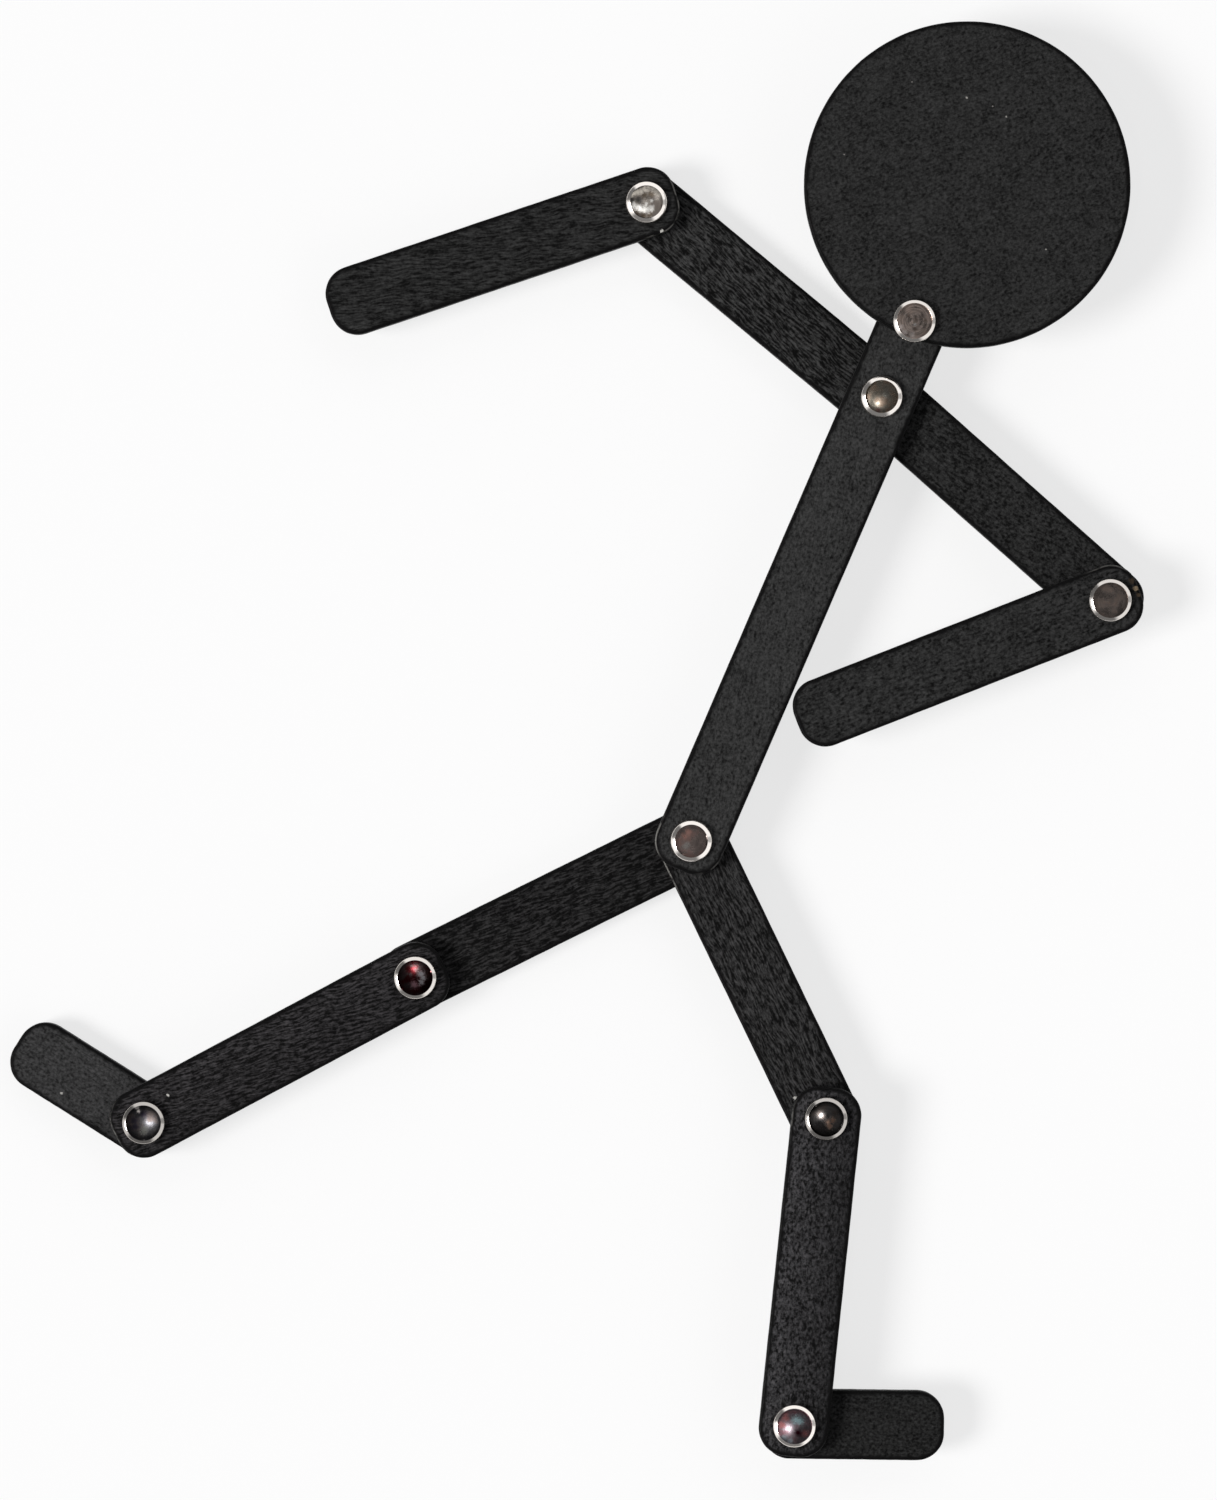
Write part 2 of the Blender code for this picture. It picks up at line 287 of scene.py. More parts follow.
class NodeDesk:
    """Places and links shader nodes in one tree."""

    def __init__(self, tree: NodeTree) -> None:
        """Works on a tree, which it empties."""
        self.tree = tree
        tree.nodes.clear()

    @classmethod
    def on(cls, owner: Material | World) -> "NodeDesk":
        """Works on the nodes of a material or a world."""
        owner.use_nodes = True
        return cls(owner.node_tree)

    def add(self, kind: str, links: dict | None = None, **settings: object) -> Node:
        """Adds a node, sets its options and fills its inputs.

        Args:
            kind: Type name of the node.
            links: Input name or number to a value or to another node's output.
            settings: The node's own options.

        Returns:
            The new node.
        """
        node = self.tree.nodes.new(kind)
        for name, value in settings.items():
            setattr(node, name, value)
        for socket, value in (links or {}).items():
            if isinstance(value, NodeSocket):
                self.tree.links.new(value, node.inputs[socket])
            else:
                node.inputs[socket].default_value = value
        return node

    def math(self, operation: str, *values: Feed) -> NodeSocket:
        """Adds a Math node on up to three values or outputs and gives its result."""
        return self.add("ShaderNodeMath", dict(enumerate(values)), operation=operation).outputs[0]

    def vector(self, operation: str, *values: Feed) -> NodeSocket:
        """Adds a Vector Math node on vectors and gives its vector result."""
        return self.add("ShaderNodeVectorMath", dict(enumerate(values)), operation=operation).outputs[0]

    def swing(self, noise: NodeSocket, share: Feed) -> NodeSocket:
        """Gives a share of how far a noise swings from its middle, one half."""
        return self.math("MULTIPLY", self.math("SUBTRACT", noise, 0.5), share)

    def ramp(self, value: Feed, low: Feed, high: float, start: float, end: float) -> NodeSocket:
        """Carries a value smoothly from the span low to high onto the span start to end.

        Args:
            value: Number or output to carry.
            low: Value that gives start, as a number or an output.
            high: Value that gives end.
            start: Result at low.
            end: Result at high.

        Returns:
            The result's output.
        """
        links = {0: value, 1: low, 2: high, 3: start, 4: end}
        return self.add("ShaderNodeMapRange", links, interpolation_type="SMOOTHSTEP").outputs[0]

    def noise(self, place: NodeSocket, kind: Noise) -> NodeSocket:
        """Adds one of the noises.

        Args:
            place: Output that gives the place.
            kind: Which noise it is.

        Returns:
            The noise's value, between 0 and 1.
        """
        scale, detail, rough = kind.value
        links = {"Vector": place, "Scale": scale, "Detail": detail, "Roughness": rough}
        return self.add("ShaderNodeTexNoise", links).outputs[0]

    def mix(self, share: Feed, first: Feed, second: Feed) -> NodeSocket:
        """Mixes two colours by a share and gives the colour."""
        return self.add("ShaderNodeMix", {0: share, 6: first, 7: second}, data_type="RGBA").outputs[2]

    def scaled(self, colour: Feed, share: Feed) -> NodeSocket:
        """Makes a colour darker or lighter by a share and gives the colour."""
        links = {0: colour, "Scale": share}
        return self.add("ShaderNodeVectorMath", links, operation="SCALE").outputs[0]

    def attribute(self, name: str, output: str) -> NodeSocket:
        """Reads one of the piece's own attributes."""
        return self.add("ShaderNodeAttribute", attribute_name=name).outputs[output]

    def effect(self, group: NodeTree, links: dict) -> Node:
        """Places a shared effect with its own values."""
        return self.add("ShaderNodeGroup", links, node_tree=group)


def grey(level: float) -> Colour:
    """Gives a neutral tone."""
    return (level, level, level)


def rgba(colour: Colour) -> tuple[float, float, float, float]:
    """Gives a colour with full cover."""
    return (*colour, 1.0)


def new_effect(
    name: str, inputs: dict[str, float | None], outputs: tuple[str, ...]
) -> tuple[NodeDesk, dict[str, NodeSocket]]:
    """Starts a shader node group with named sockets.

    Args:
        name: Name of the group.
        inputs: Name and default of each number input, or None for a vector input.
        outputs: Names of the number outputs.

    Returns:
        The desk that works in the group, and its inputs by name.
    """
    tree = bpy.data.node_groups.new(name, "ShaderNodeTree")
    desk = NodeDesk(tree)
    for socket, default in inputs.items():
        kind = "NodeSocketVector" if default is None else "NodeSocketFloat"
        made = tree.interface.new_socket(socket, in_out="INPUT", socket_type=kind)
        if default is not None:
            made.default_value = default
    for socket in outputs:
        tree.interface.new_socket(socket, in_out="OUTPUT", socket_type="NodeSocketFloat")
    entry = desk.add("NodeGroupInput")
    return desk, {socket: entry.outputs[socket] for socket in inputs}


def wood_grain_effect() -> NodeTree:
    """Builds the stain's grain: fine strokes along a swaying line, broad bands, pores and small specks.

    Returns:
        The group, with a shade and a height around one half.
    """
    sway_reach = 1.6
    pore_size, pore_span = (4.5, 0.13, 0.13), (0.34, 0.46)
    base_shade, pore_shade, broad_shade, fine_shade = 0.19, 0.12, 0.2, 2.6
    pore_height, speck_height = 0.6, 0.4
    inputs = {
        "Place": None, "Stroke Length": 5.0, "Stroke Width": 0.8,
        "Stroke Share": 0.6, "Speck Share": 0.4,
    }
    desk, entry = new_effect("wood_grain", inputs, ("Shade", "Height"))
    sway = desk.swing(desk.noise(entry["Place"], Noise.GRAIN_SWAY), sway_reach)
    bent = desk.add("ShaderNodeCombineXYZ", {1: sway}).outputs[0]
    place = desk.vector("ADD", entry["Place"], bent)
    length, width = entry["Stroke Length"], entry["Stroke Width"]
    stroke_size = desk.add("ShaderNodeCombineXYZ", {0: length, 1: width, 2: width}).outputs[0]
    along = desk.vector("DIVIDE", place, stroke_size)
    strokes = desk.swing(desk.noise(along, Noise.GRAIN_STROKES), entry["Stroke Share"])
    specks = desk.noise(entry["Place"], Noise.GRAIN_SPECKS)
    fine = desk.math("ADD", strokes, desk.swing(specks, entry["Speck Share"]))
    bands = desk.noise(along, Noise.GRAIN_BANDS)
    clouds = desk.noise(entry["Place"], Noise.GRAIN_CLOUDS)
    broad = desk.math("SUBTRACT", desk.math("ADD", bands, clouds), 1.0)
    threads = desk.noise(desk.vector("DIVIDE", place, pore_size), Noise.GRAIN_PORES)
    pores = desk.ramp(threads, *pore_span, 0.0, 1.0)
    even = desk.math("MULTIPLY_ADD", pores, pore_shade, base_shade)
    smooth = desk.math("MULTIPLY_ADD", broad, broad_shade, even)
    shade = desk.math("ADD", smooth, desk.math("MULTIPLY", fine, fine_shade))
    height = desk.math("MULTIPLY_ADD", pores, pore_height, desk.math("MULTIPLY", specks, speck_height))
    desk.add("NodeGroupOutput", {"Shade": shade, "Height": height})
    return desk.tree


def edge_effect() -> NodeTree:
    """Builds the edges: a dark uneven line along each cut edge, a softer side and pale places, which are
    partly rubbed wear and partly a painted highlight where an eased edge faces the light.

    Distances are in mm from the outline, and the dark line's core is a share of its width.

    Returns:
        The group, with a dark mask and a pale mask.
    """
    width_swing, line_core = (0.8, 1.25), 0.45
    side_span, side_share = (0.14, 0.24), 0.6
    pale_start, pale_end, break_span = (0.12, 0.22), (0.3, 0.48), (0.36, 0.56)
    inputs = {"Place": None, "Rim Distance": 1.0, "Dark Width": 0.5, "Wear And Highlight": 0.0}
    desk, entry = new_effect("cut_edge", inputs, ("Dark", "Pale"))
    distance = entry["Rim Distance"]
    uneven = desk.ramp(desk.noise(entry["Place"], Noise.EDGE_WIDTH), *NOISE_SPAN, *width_swing)
    reach = desk.math("MULTIPLY", entry["Dark Width"], uneven)
    line = desk.ramp(desk.math("DIVIDE", distance, reach), line_core, 1.0, 1.0, 0.0)
    dark = desk.math("MULTIPLY", line, desk.ramp(distance, *side_span, side_share, 1.0))
    inner = desk.ramp(distance, *pale_start, 0.0, 1.0)
    outer = desk.ramp(distance, *pale_end, 1.0, 0.0)
    broken = desk.ramp(desk.noise(entry["Place"], Noise.EDGE_BREAKS), *break_span, 0.0, 1.0)
    rubbed = desk.math("MULTIPLY", desk.math("MULTIPLY", inner, outer), broken)
    pale = desk.math("MULTIPLY", rubbed, entry["Wear And Highlight"])
    desk.add("NodeGroupOutput", {"Dark": dark, "Pale": pale})
    return desk.tree


def fleck_effect() -> NodeTree:
    """Builds one fleck: a small uneven dot at a place in the piece's own frame, full over its core.

    Returns:
        The group, with the dot's mask.
    """
    size_swing = (0.75, 1.25)
    inputs = {"Place": None, "Middle": None, "Size": 0.3, "Core": 0.5}
    desk, entry = new_effect("fleck", inputs, ("Mask",))
    ends = {0: entry["Place"], 1: entry["Middle"]}
    away = desk.add("ShaderNodeVectorMath", ends, operation="DISTANCE").outputs["Value"]
    uneven = desk.ramp(desk.noise(entry["Place"], Noise.FLECK_OUTLINE), *NOISE_SPAN, *size_swing)
    far = desk.math("DIVIDE", away, desk.math("MULTIPLY", entry["Size"], uneven))
    desk.add("NodeGroupOutput", {"Mask": desk.ramp(far, entry["Core"], 1.0, 1.0, 0.0)})
    return desk.tree


def scuff_effect() -> NodeTree:
    """Builds the wear of turned metal: rings from the lathe, fine scratches and cloudy patches.

    Returns:
        The group, with rings, scratches and clouds between 0 and 1.
    """
    ring_scale = (0.9, 0.9, 3.4)
    scratch_turn, scratch_scale, scratch_span = (0.0, 0.0, 0.7), (0.7, 6.0, 1.0), (0.58, 0.7)
    inputs = {"Place": None, "Turned Place": None}
    desk, entry = new_effect("turned_metal", inputs, ("Rings", "Scratches", "Clouds"))
    rings = desk.noise(desk.vector("MULTIPLY", entry["Turned Place"], ring_scale), Noise.LATHE_RINGS)
    slant = {0: entry["Place"], 2: scratch_turn, 3: scratch_scale}
    slanted = desk.add("ShaderNodeMapping", slant).outputs[0]
    scratches = desk.ramp(desk.noise(slanted, Noise.SCRATCHES), *scratch_span, 0.0, 1.0)
    clouds = desk.noise(entry["Place"], Noise.METAL_CLOUDS)
    desk.add("NodeGroupOutput", {"Rings": rings, "Scratches": scratches, "Clouds": clouds})
    return desk.tree


@dataclass(frozen=True)
class SharedEffects:
    """The shader node groups that the materials share."""

    grain: NodeTree
    edge: NodeTree
    fleck: NodeTree
    scuffs: NodeTree

    @classmethod
    def build(cls) -> "SharedEffects":
        """Builds each group once."""
        return cls(wood_grain_effect(), edge_effect(), fleck_effect(), scuff_effect())


# Finishes

class WoodFigure(Enum):
    """How the grain shows: stroke length and width in mm, stroke share and speck share."""

    STROKED = (1.9, 0.37, 0.84, 0.36)
    FLECKED = (0.95, 0.48, 0.5, 0.6)
    MOTTLED = (0.7, 0.45, 0.35, 0.5)


@dataclass(frozen=True)
class Fleck:
    """A small mark on a top face, dust or bared wood: its place seen from above, size and dent in mm."""

    place: Spot
    size: float = 0.3
    tone: Colour = DUST
    dent: float = 0.0


@dataclass(frozen=True)
class StainedWood:
    """Charcoal-black stain on close-grained wood, darker along the cut edges.

    The grain's turn is in degrees from the piece's direction, and the drift is the share by which the
    tone changes for each mm across the piece.
    """

    tone: Colour
    figure: WoodFigure
    grain_turn: float = 0.0
    contrast: float = 1.0
    side_drift: float = 0.0
    flecks: tuple[Fleck, ...] = ()

    SHADE_SHARES = (0.05, 3.3)
    EDGE_TONE = (0.0018, 0.0017, 0.0018)
    PALE_WEAR_AND_HIGHLIGHT_TONE = (0.16, 0.155, 0.145)
    DARK_WIDTH = 1.15
    ROUGH_SPAN = (0.1, 0.6)
    ROUGHNESS = (0.62, 0.4)
    GLOSS = 0.08
    BUMP_STRENGTH = 0.6
    BUMP_DEPTH = 0.03 * MM

    def material(self, name: str, effects: SharedEffects, fleck_places: list[Array]) -> Material:
        """Builds the finish.

        Args:
            name: Name of the material.
            effects: The shared node groups.
            fleck_places: Place of each fleck in the grain's own frame, in mm.

        Returns:
            The material.
        """
        material = bpy.data.materials.new(name)
        desk = NodeDesk.on(material)
        place = desk.attribute(GRAIN_PLACE, "Vector")
        length, width, strokes, specks = self.figure.value
        grain = desk.effect(effects.grain, {
            "Place": place, "Stroke Length": length, "Stroke Width": width,
            "Stroke Share": strokes * self.contrast, "Speck Share": specks * self.contrast,
        }).outputs
        edge = desk.effect(effects.edge, {
            "Place": place, "Rim Distance": desk.attribute(RIM_DISTANCE, "Fac"),
            "Dark Width": self.DARK_WIDTH, "Wear And Highlight": desk.attribute(EDGE_WEAR_AND_HIGHLIGHT, "Fac"),
        }).outputs
        low, high = (tuple(share * part for part in self.tone) for share in self.SHADE_SHARES)
        colour = desk.mix(grain["Shade"], rgba(low), rgba(high))
        # The tone changes steadily across the piece
        colour = desk.scaled(colour, desk.attribute(TONE_DRIFT, "Fac"))
        colour = desk.mix(edge["Dark"], colour, rgba(self.EDGE_TONE))
        # Pale edges: partly rubbed wear, partly a painted highlight where an eased edge faces the light
        colour = desk.mix(edge["Pale"], colour, rgba(self.PALE_WEAR_AND_HIGHLIGHT_TONE))
        for fleck, middle in zip(self.flecks, fleck_places):
            dot = desk.effect(effects.fleck, {"Place": place, "Middle": middle, "Size": fleck.size})
            colour = desk.mix(dot.outputs["Mask"], colour, rgba(fleck.tone))
        bump = desk.add("ShaderNodeBump", {
            "Strength": self.BUMP_STRENGTH, "Distance": self.BUMP_DEPTH, "Height": grain["Height"],
        })
        roughness = desk.ramp(grain["Shade"], *self.ROUGH_SPAN, *self.ROUGHNESS)
        shader = desk.add("ShaderNodeBsdfPrincipled", {
            "Base Color": colour, "Roughness": roughness,
            "Specular IOR Level": self.GLOSS, "Normal": bump.outputs[0],
        })
        desk.add("ShaderNodeOutputMaterial", {"Surface": shader.outputs[0]})
        return material


@dataclass(frozen=True)
class TarnishAndReflectionPatch:
    """Soft round spots of another tone on a rivet's face, duller or not, placed from its axis in mm:
    partly tarnish, partly painted reflections and highlights of the room and the lamps.
    """

    size: float
    tone: Colour
    spots: tuple[Spot, ...]
    dull: float = 0.0


@dataclass(frozen=True)
class NickelPlate:
    """Nickel plate on steel, from a mirror to a dull brushed face, with a bright rim.

    Beside the rim the face is painted darker, as shade at the foot of the lip; the painted rim shade is
    the share of the face's tone left there. The ring depth is the share by which the lathe's rings change
    that tone.
    The tone, tarnish and patches partly paint reflections of the room and the lamps in the metal. The
    patches' sizes and the radii are in mm.
    """

    tone: Colour = (0.62, 0.57, 0.51)
    roughness: float = 0.12
    tarnish_and_reflection: Colour = (0.3, 0.21, 0.17)
    tarnish_and_reflection_share: float = 0.4
    patches: tuple[TarnishAndReflectionPatch, ...] = ()
    rim_polish: float = 0.85
    painted_rim_shade: float = 0.7
    ring_depth: float = 0.14

    RIM_TONE = (1.0, 0.94, 0.88)
    RIM_ROUGHNESS = 0.12
    RIM_BLUR = 0.03
    RIM_SHADE_REACH = (1.1, 0.2)
    RING_SPAN = (0.35, 0.65)
    TARNISH_AND_REFLECTION_SPAN = (0.44, 0.62)
    CLOUD_SWING = (0.8, 1.25)
    SCRATCH_DULL = 0.03
    MARK_STRENGTH = 0.35
    MARK_DEPTH = 0.006 * MM
    PATCH_CORE = 0.1
    PATCH_SQUASH = (1.0, 1.0, 0.2)

    def patch_mask(
        self, desk: NodeDesk, effects: SharedEffects, patch: TarnishAndReflectionPatch, place: NodeSocket, middle: Array
    ) -> NodeSocket:
        """Joins a patch's spots in one mask.

        Heights are squashed, so that a leaning face keeps its spots round.

        Args:
            desk: Desk that works in the material.
            effects: The shared node groups.
            patch: The patch.
            place: Output that gives the place on the rivet.
            middle: Middle of the rivet's face, as that output gives it.

        Returns:
            The mask's output.
        """
        mask = 0.0
        for spot in patch.spots:
            dot = desk.effect(effects.fleck, {
                "Place": desk.vector("MULTIPLY", place, self.PATCH_SQUASH),
                "Middle": (middle + np.array([*spot, 0.0])) * self.PATCH_SQUASH,
                "Size": patch.size, "Core": self.PATCH_CORE,
            })
            mask = desk.math("MAXIMUM", dot.outputs["Mask"], mask)
        return mask

    def material(self, name: str, effects: SharedEffects, middle: Array, rim_start: float) -> Material:
        """Builds the finish.

        Args:
            name: Name of the material.
            effects: The shared node groups.
            middle: Middle of the rivet's face in its own frame, in mm.
            rim_start: Radius at which the rim starts, in mm.

        Returns:
            The material.
        """
        material = bpy.data.materials.new(name)
        desk = NodeDesk.on(material)
        turned = desk.attribute(TURNED_PLACE, "Vector")
        place = desk.attribute(GRAIN_PLACE, "Vector")
        scuffs = desk.effect(effects.scuffs, {"Place": place, "Turned Place": turned}).outputs
        radius = desk.add("ShaderNodeSeparateXYZ", {0: turned}).outputs[2]
        on_rim = desk.ramp(radius, rim_start - self.RIM_BLUR, rim_start + self.RIM_BLUR, 0.0, 1.0)
        off_rim = desk.math("SUBTRACT", 1.0, on_rim)
        ringed = desk.ramp(scuffs["Rings"], *self.RING_SPAN, 1 - self.ring_depth, 1 + self.ring_depth)
        # Clouds of tarnish, whose colours partly paint reflections of the room
        tarnish_and_reflection_mask = desk.ramp(scuffs["Clouds"], *self.TARNISH_AND_REFLECTION_SPAN, 0.0, self.tarnish_and_reflection_share)
        face = desk.mix(tarnish_and_reflection_mask, desk.scaled(self.tone, ringed), rgba(self.tarnish_and_reflection))
        clouded = (self.roughness * swing for swing in self.CLOUD_SWING)
        dull = desk.ramp(scuffs["Clouds"], *NOISE_SPAN, *clouded)
        dull = desk.math("ADD", dull, desk.math("MULTIPLY", scuffs["Scratches"], self.SCRATCH_DULL))
        # Patches: partly tarnish, partly painted reflections and highlights
        for patch in self.patches:
            mask = self.patch_mask(desk, effects, patch, place, middle)
            face = desk.mix(mask, face, rgba(patch.tone))
            dull = desk.math("MULTIPLY_ADD", mask, patch.dull, dull)
        # Painted shade: the face darkens towards the foot of the lip
        shade_start, shade_end = (rim_start - reach for reach in self.RIM_SHADE_REACH)
        face = desk.scaled(face, desk.ramp(radius, shade_start, shade_end, 1.0, self.painted_rim_shade))
        rim_tone = tuple(self.rim_polish * part for part in self.RIM_TONE)
        rim_dull = desk.math("MULTIPLY", on_rim, self.RIM_ROUGHNESS)
        bump = desk.add("ShaderNodeBump", {
            "Strength": self.MARK_STRENGTH, "Distance": self.MARK_DEPTH,
            "Height": desk.math("MULTIPLY", scuffs["Rings"], off_rim),
        })
        shader = desk.add("ShaderNodeBsdfPrincipled", {
            "Base Color": desk.mix(on_rim, face, rgba(rim_tone)), "Metallic": 1.0,
            "Roughness": desk.math("MULTIPLY_ADD", off_rim, dull, rim_dull), "Normal": bump.outputs[0],
        })
        desk.add("ShaderNodeOutputMaterial", {"Surface": shader.outputs[0]})
        return material


# Wooden pieces

@dataclass(frozen=True)
class EdgeWearAndHighlight:
    """A stretch of edge painted pale, partly rubbed wear and partly a painted highlight where the eased
    edge faces the light: its middle seen from above and its reach, in mm.
    """

    place: Spot
    reach: float = 4.0
    strength: float = 1.0


@dataclass
class WoodenPlate:
    """A flat wooden piece with an eased edge, pierced for its rivets."""

    node: str
    body: str
    finish: StainedWood
    seed: int
    holes: list[Array] = field(default_factory=list)
    rubbed: tuple[EdgeWearAndHighlight, ...] = ()
    centre: Array = field(default_factory=lambda: np.zeros(2))
    direction: Array = field(default_factory=lambda: np.array([1.0, 0.0]))
    floor: float = 0.0
    top: float = 0.0

    EASED_EDGE = 0.45 * MM
    SKIN_INSET = 0.09 * MM
    EDGE_WOBBLE = 0.05 * MM
    EDGE_WAVES = (7, 13, 24, 41)
    WOBBLE_FADE = 8
    FACE_DIP = 0.02 * MM
    DIP_LENGTHS = (23 * MM, 9 * MM)
    FACE_PULL = (1.0, 0.1)
    LAST_PULL = 0.03
    FACE_ROWS = 9
    ROUND_ROWS = 6
    SIDE_ROWS = 4
    HOLE_RADIUS = 1.8 * MM
    CUTTER_REACH = 0.4 * MM
    CUTTER_POINTS = 48
    GRAIN_SHIFT = (61.0, 43.0, 29.0)
    SHARP_BEND = 40.0

    def outline(self) -> tuple[Array, Array, Array]:
        """Gives the outline's points, its outward normals and the middle line's points."""
        raise NotImplementedError

    def rim_distance(self, plan: Array) -> Array:
        """Gives how far points of the piece's frame lie inside its outline."""
        raise NotImplementedError

    def section(self) -> tuple[Array, Array, Array]:
        """Works out the section from the top face's middle, over the edge, to the back's middle.

        A face runs straight from the middle line to the edge, a quarter circle eases the edge, and the
        side drops to the same quarter circle and face turned over.

        Returns:
            Pull to the middle line, inset from the outline and height above the floor, a value a row.
        """
        thick = self.top - self.floor
        face = np.append(np.linspace(*self.FACE_PULL, self.FACE_ROWS), self.LAST_PULL)
        turn = np.linspace(0, np.pi / 2, self.ROUND_ROWS)
        side = np.linspace(thick - self.EASED_EDGE, thick / 2, self.SIDE_ROWS)[1:]
        pull = np.concatenate([face, np.zeros(len(turn) + len(side))])
        inset = np.concatenate([
            np.full(len(face), self.EASED_EDGE),
            self.EASED_EDGE * (1 - np.sin(turn)),
            np.zeros(len(side)),
        ])
        height = np.concatenate([
            np.full(len(face), thick),
            thick - self.EASED_EDGE * (1 - np.cos(turn)),
            side,
        ])
        lower = slice(-2, None, -1)
        return (
            np.concatenate([pull, pull[lower]]),
            np.concatenate([inset, inset[lower]]),
            np.concatenate([height, thick - height[lower]]),
        )

    def surface(self) -> Array:
        """Carries the section round the outline.

        Each point is the outline's point, moved in by the inset and pulled towards the middle line.
        The inset wobbles a little round the outline, the faces dip in shallow waves, as sanded wood
        does, and each chip dents the top by a bell curve of the distance from its middle.

        Returns:
            Places, as columns round the outline by rows of the section by three.
        """
        edge, normal, middle = self.outline()
        pull, inset, height = self.section()
        wobble = self.EDGE_WOBBLE * soft_waves(way_round(len(edge)), self.EDGE_WAVES, self.seed)
        inset = self.SKIN_INSET + inset + wobble[:, None] * (1 - pull) ** self.WOBBLE_FADE
        rim = edge[:, None, :] - normal[:, None, :] * inset[..., None]
        plan = rim * (1 - pull[:, None]) + middle[:, None, :] * pull[:, None]
        half = (self.top - self.floor) / 2
        phases = np.random.default_rng(self.seed).uniform(0, FULL_TURN, 2)
        waves = np.sin(plan * FULL_TURN / np.array(self.DIP_LENGTHS) + phases).prod(axis=-1)
        dip = self.FACE_DIP * (0.5 + 0.5 * waves)
        rise = height - np.sign(height - half) * dip
        across = quarter_turn(self.direction)
        ground = self.centre + plan[..., :1] * self.direction + plan[..., 1:] * across
        for chip in (fleck for fleck in self.finish.flecks if fleck.dent):
            away = np.linalg.norm(ground / MM - np.array(chip.place), axis=-1) / chip.size
            rise = rise - chip.dent * MM * np.exp(-away**2) * (height > half)
        return np.concatenate([ground, self.floor + rise[..., None]], axis=-1)

    def to_plan(self, ground: Array) -> Array:
        """Turns places seen from above into the piece's frame."""
        away = ground - self.centre
        return np.stack([away @ self.direction, away @ quarter_turn(self.direction)], axis=-1)

    def grain_place(self, places: Array) -> Array:
        """Gives places in the grain's frame, in mm.

        The frame runs along the grain, across it and up. It is shifted for each piece, so that no two
        pieces have the same grain.

        Args:
            places: Points of the piece.

        Returns:
            One place for each point.
        """
        plan = self.to_plan(places[:, :2])
        turn = math.radians(self.finish.grain_turn)
        along = plan[:, 0] * math.cos(turn) + plan[:, 1] * math.sin(turn)
        across = plan[:, 1] * math.cos(turn) - plan[:, 0] * math.sin(turn)
        shift = np.array(self.GRAIN_SHIFT) * self.seed
        return np.stack([along, across, places[:, 2] - self.floor], axis=-1) / MM + shift

    def pierce(self, mesh: Mesh) -> Mesh:
        """Cuts the rivet holes through the plate.

        Each cutter is a round bar: a line turned round the hole's axis, its ends drawn in to a point.

        Args:
            mesh: The whole plate.

        Returns:
            The pierced plate.
        """
        radius = np.array([0, 1, 1, 0]) * self.HOLE_RADIUS
        height = np.repeat([self.floor - self.CUTTER_REACH, self.top + self.CUTTER_REACH], 2)
        plate = put_in_scene(mesh.name, mesh)
        cutters = []
        for hole in self.holes:
            bar = closed_mesh("cutter", turn_round(hole, radius, height, self.CUTTER_POINTS))
            cutters.append(put_in_scene("cutter", bar))
            cut = plate.modifiers.new("rivet_hole", "BOOLEAN")
            cut.object = cutters[-1]
            cut.operation = "DIFFERENCE"
            cut.solver = "EXACT"
        depsgraph = bpy.context.evaluated_depsgraph_get()
        pierced = bpy.data.meshes.new_from_object(plate.evaluated_get(depsgraph))
        for spent in [plate, *cutters]:
            bpy.data.objects.remove(spent)
        merge_and_face_outwards(pierced)
        return pierced

    def wear_and_highlight_share(self, places: Array) -> Array:
        """Gives how pale each place's edge is painted, as wear and painted highlight, by a flat-topped
        bell curve along each stretch.

        Args:
            places: Points of the piece.

        Returns:
            A share for each point.
        """
        amount = np.zeros(len(places))
        for stretch in self.rubbed:
            away = np.linalg.norm(places[:, :2] / MM - np.array(stretch.place), axis=1) / stretch.reach
            amount = np.maximum(amount, stretch.strength * np.exp(-away**4))
        return amount

    def build(self, effects: SharedEffects) -> Object:
        """Makes the piece, dresses it and sets it on its body.

        Args:
            effects: The shared node groups.

        Returns:
            The finished piece.
        """
        name = f"{self.node}_wood"
        mesh = self.pierce(closed_mesh(name, self.surface()))
        mesh.name = name
        places = mesh_points(mesh)
        plan = self.to_plan(places[:, :2])
        store_attribute(mesh, GRAIN_PLACE, self.grain_place(places))
        store_attribute(mesh, RIM_DISTANCE, self.rim_distance(plan) / MM)
        store_attribute(mesh, EDGE_WEAR_AND_HIGHLIGHT, self.wear_and_highlight_share(places))
        store_attribute(mesh, TONE_DRIFT, 1 + self.finish.side_drift * (plan[:, 1] / MM))
        fleck_places = [
            self.grain_place(np.array([[fleck.place[0] * MM, fleck.place[1] * MM, self.top]]))[0]
            for fleck in self.finish.flecks
        ]
        mesh.materials.clear()
        mesh.materials.append(self.finish.material(f"{self.node}_stain", effects, fleck_places))
        return show(name, mesh, self.node, self.body, self.SHARP_BEND)


